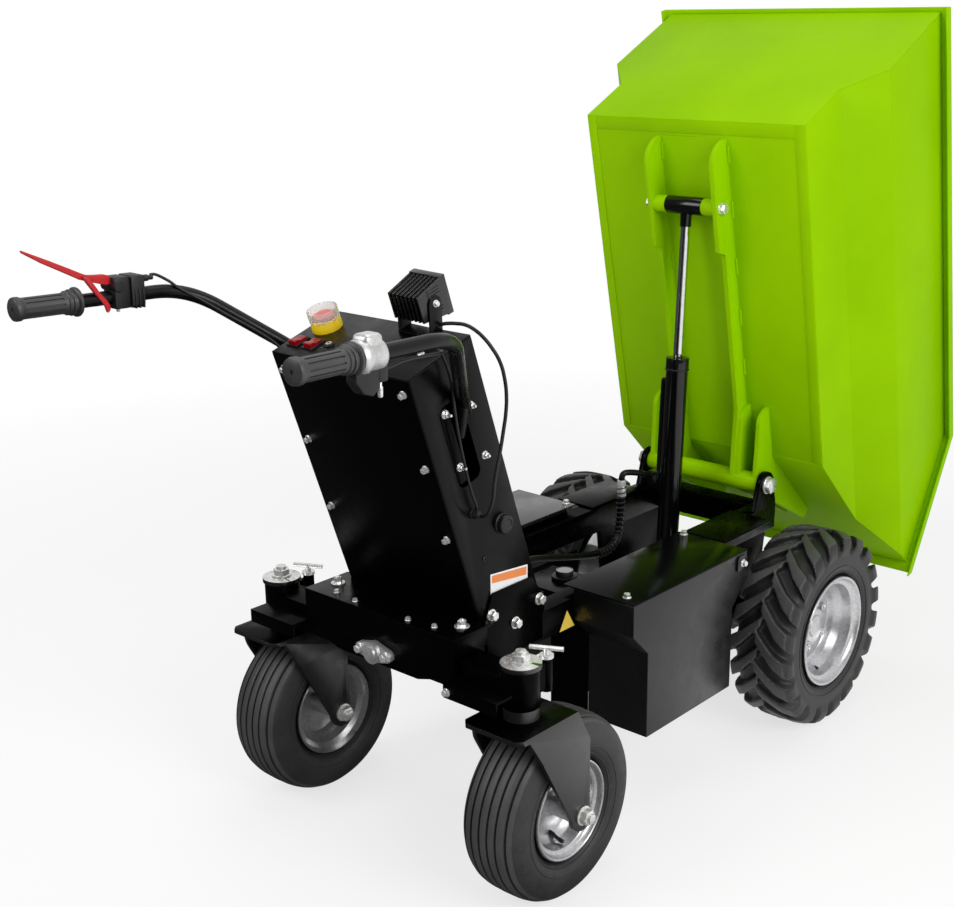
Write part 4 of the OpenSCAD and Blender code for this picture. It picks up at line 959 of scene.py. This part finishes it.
def newRim(settings):
    parts = [turned("rim", settings["outline"], 72)]
    for count in range(settings["bolts"]):
        angle = 2 * math.pi * (count + 0.5) / settings["bolts"]
        nut = newBolt(settings["across"], settings["height"], settings["across"] + 6, 4)
        arm = settings["circle"] / 2
        parts.append(put(nut, moveBy(arm * math.cos(angle), arm * math.sin(angle), 4.5)))
    return joined(parts, "rim")


for (kind, side), place in wheelPlaces.items():
    settings = rimSet[kind]
    rim = newRim(settings)
    rim.name = f"{kind}_rim_{side}_formed"
    standsAt(rim, place, rimSilver, f"{kind}_rim_{side}", 28)
    stem = turned(f"{kind}_valve_{side}", valveOutline, 14)
    lean = moveBy(0, -settings["valve"], 6) @ turnBy(14, "X")
    addedAt(stem, place @ lean, mouldedBlack, f"{kind}_wheel_{side}", angle=40)
print("rims turned")

# Caster bolts: zinc bolts and nuts on black cap discs
capSet = {"low": 0.4305, "high": 0.4402, "hole": 0.0185}
for side, sign in sides.items():
    bolts = formed(f"caster_bolts_{side}", zincSteel, 0.0008)
    middle = spot(-906, sign * 289, 0)
    # the cap discs take the fork's brighter, glossier copy of the black paint, with its painted sheen
    partly(bolts, forkSheenPaint, lambda face, normal: capSet["low"] < face.z < capSet["high"]
           and math.hypot(face.x - middle.x, face.y - middle.y) > capSet["hole"])

# Cylinder: chromed shaft, black neck and cross tube, a grease nipple, and a ring at the barrel's mouth
neckStart = -0.0425
rodPiece = formed("cylinder_rod", chromeRod, 0.0008)
partly(rodPiece, barrelPaint, lambda face, normal: (face - rodEye).dot(rodWay) > neckStart)
rodNipple = turned("rod_nipple", [(4, -2), (4, 2.5), (2.6, 3.5), (2.2, 6), (3, 7), (2, 9)], 12)
nipplePlace = cylinderPlace @ moveBy(-16.5, 0, 755.5) @ turnBy(-90, "Y")
addedAt(rodNipple, nipplePlace, zincSteel, "cylinder_rod_body")
glandRing = turned("gland_ring", [(24.2, 419), (25, 420), (25, 422), (24.2, 423)], 40)
addedAt(glandRing, cylinderPlace, mouldedBlack, "cylinder_barrel_body")
print("cylinder dressed")

# Column: the shell with a slot for each handlebar, and a strap behind each slot
slotSet = {"low": (40, -226), "high": (93, -78), "corner": 14, "reach": 170}
strapSet = {"low": (45, -222), "high": (65, -82), "corner": 6, "from": 147, "thick": 4.5}


def roundedBox(low, high, corner, y, steps=5):
    # an upright rectangle with rounded corners at one place along Y
    outline = []
    turns = ((high[0], high[1], 0), (low[0], high[1], 90), (low[0], low[1], 180), (high[0], low[1], 270))
    for x, z, start in turns:
        middle = (x - math.copysign(corner, x - sum((low[0], high[0])) / 2),
                  z - math.copysign(corner, z - sum((low[1], high[1])) / 2))
        for step in range(steps + 1):
            angle = math.radians(start + 90 * step / steps)
            outline.append((middle[0] + corner * math.cos(angle), y, middle[1] + corner * math.sin(angle)))
    return outline


shell = copyOf("column_shell")
slotOutline = roundedBox(slotSet["low"], slotSet["high"], slotSet["corner"], -slotSet["reach"])
cutter = put(plateOf("slot_cutter", slotOutline, (0, 2 * slotSet["reach"], 0)), columnPlace)
pick(shell)
slotCut = shell.modifiers.new("slot", "BOOLEAN")
slotCut.operation = "DIFFERENCE"
slotCut.object = cutter
bpy.ops.object.modifier_apply(modifier=slotCut.name)
bpy.data.objects.remove(cutter)
bevelled(shell, 0.0010)
smoothed(shell)
standsFor(shell, columnPaint, "column_shell")
straps = []
for side in signs:
    outline = roundedBox(strapSet["low"], strapSet["high"], strapSet["corner"], side * strapSet["from"])
    straps.append(plateOf("strap", outline, (0, side * strapSet["thick"], 0)))
addedAt(joined(straps, "bar_straps"), columnPlace, framePaint, edge=0.0008)

# Knob, cable gland and peg on the column's right side
knob = turned("knob", [(18, 0), (18, 3), (16.6, 4.4), (16.6, 11), (15.4, 13.6), (12, 15), (10, 15.2),
                       (9, 14.2)], 36)
fluted(knob, 5, 10.5, every=2, thick=0.4, depth=1.2)
gland = turned("gland", [(10, 0), (10, 2), (9, 2.6), (9, 7), (8, 8.2), (7.4, 11.6), (4.6, 12), (4.2, 13)], 6)
collar = turned("gland_collar", [(7.2, 6), (7.2, 10), (5.8, 13), (4.2, 15.4), (3.3, 15.8)], 20)
peg = turned("peg", [(4.2, 0), (4.2, 1.4), (3, 2.2), (2.2, 2.2), (2.2, 0.8)], 16)
for part, x, z in ((knob, 105, -332), (gland, 52, -278), (collar, 52, -278), (peg, 47.5, -366)):
    put(part, moveBy(x, -columnSet["half"], z) @ turnBy(90, "X"))
fittings = joined([knob, gland, collar], "side_fittings_formed")
standsAt(fittings, columnPlace, mouldedBlack, "side_fittings", 40)
addedAt(peg, columnPlace, mouldedBlack)

# Blank plate low on the column's side and blank triangle on the rail
plateSet = {"corners": [(-829, 490.5), (-735, 479), (-735, 521), (-829, 530)], "band": 0.58,
            "triangle": [(-648, 365), (-606, 365), (-627, 401)], "thick": 0.5, "face": -156}
corners = [Vector((x, plateSet["face"], z)) for x, z in plateSet["corners"]]
blankPlate = put(plateOf("blank_plate", corners, (0, -plateSet["thick"], 0)), machinePlace)
addedTo(blankPlate, plateWhite, "root")
leftBand = corners[0].lerp(corners[3], plateSet["band"])
rightBand = corners[1].lerp(corners[2], plateSet["band"])
inset, below, front = Vector((3, 0, 0)), Vector((0, 0, -3)), Vector((0, -0.4, 0))
bandOutline = [leftBand + inset, rightBand - inset, corners[2] - inset + below, corners[3] + inset + below]
plateBand = plateOf("plate_band", [point + front for point in bandOutline], (0, -0.3, 0))
addedTo(put(plateBand, machinePlace), plateOrange, "root")
triangleOutline = [(x, plateSet["face"], z) for x, z in plateSet["triangle"]]
triangle = put(plateOf("blank_triangle", triangleOutline, (0, -plateSet["thick"], 0)), machinePlace)
bevelled(triangle, 0.0003)
addedTo(triangle, signYellow, "root")
print("column dressed")

# Handlebars: bent tubes that run into the column's slots
barParts = []
for side in signs:
    bends = onSides([barSet[key] for key in ("low", "slot", "high", "corner", "end")], (side,))
    bends[-1] = Vector(bends[-1]) + 6 * (Vector(bends[-2]) - Vector(bends[-1])).normalized()
    upper = roundedRoute(bends[1:], 60, 12)
    lower = roundedRoute([bends[0], bends[1], upper[1]], 12, 4)
    route = [spot(*point) for point in lower[:-1] + upper[1:]]
    barParts.append(tubeAlong("bar", route, barSet["diameter"] / 1000, 6))
bars = joined(barParts, "handlebars_formed")
standsFor(bars, blackPaint, "handlebars")

# Grips: fluted rubber with rings at the inner end and a beaded outer end
gripSet = {
    "outline": [(13, -106), (22, -106), (23, -104.6), (23, -101.4), (21.6, -100), (18.6, -99), (18.2, -96),
                (20.2, -95), (20.6, -93.4), (20.2, -92), (18, -91), (17.6, -88.6), (18.8, -87.6),
                (18.8, -85.4), (17, -84), (16.4, -78), (16.4, -16), (17, -12), (18.4, -10), (18.6, -4),
                (17.8, -1.2), (16, 0), (3, 0), (2.6, -2.4)],
    "flutes": 36,
}
gripParts = []
for side in signs:
    grip = turned("grip", gripSet["outline"], gripSet["flutes"])
    fluted(grip, -77, -17, every=3, thick=0.5, depth=1.7)
    gripParts.append(put(grip, barPlace(side)))
grips = joined(gripParts, "grips_formed")
smoothed(grips, 34)
standsFor(grips, gripRubber, "grips")

# Brake clamp: blocks round the bar with a waist between them, ribs, a pivot's boss and the cable's adjuster
clampPlace = barPlace(1)
clampSet = {
    "blocks": [((-17, -19, -186), (33, 16, -161)), ((-15, -20, -214), (33, 19, -190)),
               ((-12, -16, -190), (28, 15, -182))],
    "ribs": (-212, -205, -198), "rib": 3.4, "edge": 0.0022,
    "bolts": [((-17, -4, -173), rearward), ((-15, 4, -202), rearward)],
}
clampParts = [blockOf("clamp_block", low, high) for low, high in clampSet["blocks"]]
clampParts += [blockOf("clamp_rib", (-19, -22, z), (12, 22, z + clampSet["rib"])) for z in clampSet["ribs"]]
for part in clampParts:
    bevelled(part, clampSet["edge"])
boss = turned("clamp_boss", [(9, -20), (9, 19), (7.6, 21), (4, 21.4)], 20)
clampParts.append(put(boss, moveBy(18, 0, -168) @ turnBy(90, "X")))
adjuster = turned("adjuster", [(5.5, -214), (5.5, -224), (4, -226), (4, -233), (3, -234)], 16)
clampParts.append(put(adjuster, moveBy(26, -10, 0)))
standsAt(joined(clampParts, "brake_clamp_formed"), clampPlace, mouldedBlack, "brake_clamp")
boltsAt("clamp_bolts", "root", clampPlace, clampSet["bolts"], 6, 4, 8)

# Brake lever: a slender blade, thick at its root, with a pointed tail below
leverSet = {
    "blade": [(-1340, 1081), (-1299, 1062), (-1266, 1046), (-1246, 1036), (-1236, 1031.5), (-1222, 1030),
              (-1206, 1029), (-1196, 1026), (-1192, 1013), (-1204, 1012), (-1218, 1016), (-1234, 1021),
              (-1246, 1025), (-1272, 1039), (-1308, 1058), (-1338, 1076.5)],
    "leg": [(-1248, 1031), (-1238, 1029), (-1229, 1017), (-1220, 1003), (-1209, 990), (-1204, 981),
            (-1204, 974), (-1208.5, 969), (-1212, 981), (-1222, 994), (-1233, 1009)],
}
blade = plateOf("lever_blade", [(x, 302.5, z) for x, z in leverSet["blade"]], (0, 9, 0))
leg = plateOf("lever_leg", [(x, 295, z) for x, z in leverSet["leg"]], (0, 8.5, 0))
for part in (blade, leg):
    bevelled(part, 0.0020, 3)
standsAt(joined([blade, leg], "brake_lever_formed"), machinePlace, leverRed, "brake_lever")

# Throttle: cast housing beside the right grip, its wedge-shaped thumb lever and a pull pin
throttlePlace = barPlace(-1)
housing = turned("throttle_housing", [(12, -153), (18, -153), (20.5, -151), (21.5, -147), (21.5, -124),
                                      (23.4, -121), (23.4, -112), (21, -108.6), (14, -108.4)], 40)
crown = blockOf("throttle_crown", (4, -15, -149), (30, 15, -116))
bevelled(crown, 0.008, 4)
standsAt(joined([housing, crown], "throttle_formed"), throttlePlace, castSilver, "throttle", 40)
thumbSet = {"outline": [(-10, -100), (-30, -98), (-47, -112), (-53, -130), (-44, -142), (-12, -146)],
            "from": -12, "thick": 20}
thumbOutline = [(x, thumbSet["from"], z) for x, z in thumbSet["outline"]]
thumb = plateOf("thumb_wedge", thumbOutline, (0, thumbSet["thick"], 0))
bevelled(thumb, 0.003, 3)
socket = blockOf("throttle_block", (-36, -13, -157), (-8, 13, -140))
bevelled(socket, 0.0025)
addedAt(joined([thumb, socket], "thumb_lever"), throttlePlace, mouldedBlack)
pinOutline = [(2.6, -58), (3.6, -56), (3.6, -44), (2.4, -42), (2.4, -28), (4, -27), (4, -22)]
pullPin = turned("pull_pin", pinOutline, 16)
addedAt(pullPin, throttlePlace @ moveBy(0, -4, -150) @ turnBy(90, "Y"), zincSteel)
print("handlebars dressed")

# Stop switch: yellow base, clear collar and a mushroom button
stopPlace = columnPlace @ moveBy(94, 118, 0)
stopBase = turned("stop_guard_formed", [(26, 0), (26, 9), (25.2, 10.4), (25.2, 19), (24.6, 20), (23.2, 20),
                                        (22.8, 19), (22.8, 6), (12, 5.4)], 48)
standsAt(stopBase, stopPlace, guardYellow, "stop_guard", 40)
collarRing = turned("stop_collar", [(25.6, 17), (26, 34), (25.4, 35.2), (24.6, 35.2), (24.2, 34), (23.8, 17),
                                    (25.6, 17)], 48, ring=True)
addedAt(collarRing, stopPlace, collarClear, angle=40)
button = turned("stop_button_formed", [(10.5, 5), (10.5, 16), (15.6, 17), (18.6, 19), (19.2, 21.4),
                                       (18.4, 24), (15, 26), (9, 27), (3, 27.2)], 40)
standsAt(button, stopPlace, buttonRed, "stop_button", 40)

# Two rockers in their bezels, a socket's cap and a screw on the panel
rockerSet = {"places": (133, 97), "bezel": [(23.5, -12.4, -1), (56.5, 12.4, 2.6)],
             "rocker": [(27, -9, 0), (53, 9, 5)], "raised": 0.0335, "rise": 0.0032}
rockerParts, bezelParts = [], []
for y in rockerSet["places"]:
    bezel = put(blockOf("bezel", *rockerSet["bezel"]), moveBy(0, y, 0))
    enterEdit(bezel, lambda middle, normal: normal.z > 0.9)
    bpy.ops.mesh.inset(thickness=0.0026, depth=-0.0014)
    leaveEdit()
    bevelled(bezel, 0.0007)
    bezelParts.append(bezel)
    rocker = put(blockOf("rocker", *rockerSet["rocker"]), moveBy(0, y, 0))
    enterEdit(rocker)
    bpy.ops.mesh.subdivide(number_cuts=3)
    leaveEdit()
    enterEdit(rocker, lambda middle, normal: normal.z > 0.9 and middle.x < rockerSet["raised"])
    bpy.ops.transform.translate(value=(0, 0, rockerSet["rise"]))
    leaveEdit()
    bevelled(rocker, 0.0014, 3, 50)
    rockerParts.append(rocker)
standsAt(joined(rockerParts, "rocker_switches_formed"), columnPlace, switchRed, "rocker_switches", 50)
addedAt(joined(bezelParts, "rocker_bezels"), columnPlace, mouldedBlack)
socketCap = turned("socket_cap", [(8, 0), (8, 2), (7.2, 2.8), (5.4, 3), (5, 4.2), (2.2, 4.4), (1.8, 3)], 32)
addedAt(socketCap, columnPlace @ moveBy(47, 65.5, 0), mouldedBlack)
partly(socketCap, zincSteel, lambda face, normal: (columnPlace.inverted() @ face).z > 0.0042)
boltsAt("panel_screws", "root", columnPlace, [((71, -119, 0), upward)], 8, 4, 12)
print("switches dressed")

# Work lamp: side ribs, and a lens over six cups
ribSet = {"rows": [(33, -6), (38, -6), (62, -12), (67, -12), (72, -12)], "front": 14,
          "from": 34.2, "to": 36.4, "half": 1.1}
cupSet = {"outline": [(9, 0), (9, 0.8), (7, 1.6), (3.4, 2.2), (3, 3)], "front": 28.4,
          "columns": (-20, 0, 20), "rows": (37, 65)}
lampRibs = []
for side in signs:
    for z, back in ribSet["rows"]:
        low = (back, ribSet["from"], z - ribSet["half"])
        high = (ribSet["front"], ribSet["to"], z + ribSet["half"])
        lampRibs.append(sidedBlock("lamp_rib", side, low, high))
addedAt(joined(lampRibs, "lamp_ribs"), lampPlace, lampBlack, edge=0.0004)
lensParts = [blockOf("lens_back", (28, -30.4, 22.1), (28.8, 30.4, 79.9))]
for y in cupSet["columns"]:
    for z in cupSet["rows"]:
        cup = turned("led_cup", cupSet["outline"], 24)
        lensParts.append(put(cup, moveBy(cupSet["front"], y, z) @ turnBy(90, "Y")))
standsAt(joined(lensParts, "lamp_lens_formed"), lampPlace, lensClear, "lamp_lens")
print("lamp dressed")

# Hydraulic hose in its spiral guard, with a ferrule and an elbow into the barrel's port
hoseSet = {
    "route": [(-516, 64, 398), (-470, 64, 398), (-400, 70, 380), (-320, 70, 360), (-250, 70, 345),
              (-205, 70, 345), (-180, 70, 365), (-172, 70, 400), (-169, 70, 440), (-167, 70, 474)],
    "diameter": 0.015, "guard": 0.0034, "pitch": 0.0105, "guarded": 0.19,
    "still": (-205, 70, 345), "moving": (-167, 70, 474),
}
hosePoints = [spot(*point) for point in hoseSet["route"]]
hoseRoute = smoothRoute(hosePoints, 8)
hose = tubeAlong("hydraulic_hose_formed", hoseRoute, hoseSet["diameter"], 4)
guardRoute, travel, aside = [], 0.0, Vector((1, 0, 0))
guardReach = hoseSet["diameter"] / 2 + hoseSet["guard"] * 0.25
fineRoute = smoothRoute(hosePoints, 90)[::-1]
for here, after in zip(fineRoute, fineRoute[1:]):
    ahead = (after - here).normalized()
    aside = (aside - aside.dot(ahead) * ahead).normalized()
    angle = 2 * math.pi * travel / hoseSet["pitch"]
    guardRoute.append(here + guardReach * (math.cos(angle) * aside + math.sin(angle) * ahead.cross(aside)))
    travel += (after - here).length
    if travel > hoseSet["guarded"]:
        break
hoseGuard = tubeAlong("hose_guard", guardRoute, hoseSet["guard"], 2)
for piece, finish in ((hose, blackPaint), (hoseGuard, mouldedBlack)):
    dressedIn(piece, finish)
    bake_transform(piece)
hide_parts("hydraulic_hose")
ferrule = turned("hose_ferrule", [(9, -22), (9.6, -21), (9.6, -4), (8.6, -2), (8.6, 2), (7, 3)], 24)
hexNut = turned("hose_nut", [(10.5, 2), (10.5, 12), (9, 13.4)], 6)
hoseEnd = joined([ferrule, hexNut], "hose_fitting")
addedAt(hoseEnd, machinePlace @ moveBy(*hoseSet["moving"]), zincSteel, "cylinder_barrel_body", angle=40)
elbowSet = {"route": [(-167, 70, 484), (-167, 70, 503), (-140, 58, 500), (-98, 42, 486)], "diameter": 0.013,
            "bend": 0.013}
elbowRoute = roundedRoute([spot(*point) for point in elbowSet["route"]], elbowSet["bend"])
elbow = tubeAlong("hose_elbow", elbowRoute, elbowSet["diameter"], 4)
smoothed(elbow, 40)
addedTo(elbow, blackPaint, "cylinder_barrel_body")
print("hose laid:", round(routeLength(hoseRoute), 3), "m")

# Filler cap of the hydraulic tank, grease nipples at the kingpins' feet
cap = turned("filler_cap", [(17, 405), (17, 414), (16, 415.6), (14.6, 416), (14.4, 415.2), (2, 415.2)], 36)
addedAt(cap, machinePlace @ moveBy(-504, -50, 0), mouldedBlack, angle=40)
partly(cap, capGrey, lambda face, normal: normal.z > 0.8 and face.z > 0.4148)
nippleSet = {"outline": [(4.6, -2), (4.6, 4), (3, 5), (2.6, 9), (3.4, 10.4), (2, 13)],
             "foot": (-936.5, 283.5, 384), "way": (-0.96, -0.2, 0.18)}
nipples = []
for foot, way in zip(onSides([nippleSet["foot"]]), onSides([nippleSet["way"]])):
    nipples.append(put(turned("nipple", nippleSet["outline"], 14), moveBy(*foot) @ pointing(way)))
addedAt(joined(nipples, "grease_nipples"), machinePlace, brass)

# Tub: laps of the sheets round its floor, and stitch welds along the long plates
lapSet = {"side": [(-716, 238, -1.3), (-6, 258.4, 0.3)], "end": [(-716, -238, -1.3), (-691, 238, 0.3)]}
lapParts = [sidedBlock("lap", side, *lapSet["side"]) for side in signs]
lapParts.append(blockOf("lap", *lapSet["end"]))
addedAt(joined(lapParts, "tub_laps"), tubPlace, limePaint, "bed", edge=0.0004)
weldSet = {"along": (-672, -560, -440, -330, -220, -110), "rows": [(84.2, -1.2), (71.8, -5.2)], "beads": 18}
weldOutline = [(2.6 + 0.6 * (count % 2), 1.6 + 2.0 * count) for count in range(weldSet["beads"])]
weldOutline = [(1.2, 0)] + weldOutline + [(1.2, 37.5)]
welds = []
for side in signs:
    for out, depth in weldSet["rows"]:
        for along in weldSet["along"]:
            weld = turned("weld", weldOutline, 10)
            welds.append(put(weld, moveBy(along, side * out, depth) @ turnBy(90, "Y")))
addedAt(joined(welds, "weld_beads"), tubPlace, limePaint, "bed", angle=70)
print("tub dressed")

standsFor(lampLead, mouldedBlack, "lamp_lead")
for cable in controlCables:
    standsFor(cable, mouldedBlack, "control_cables")
print("all nodes dressed")
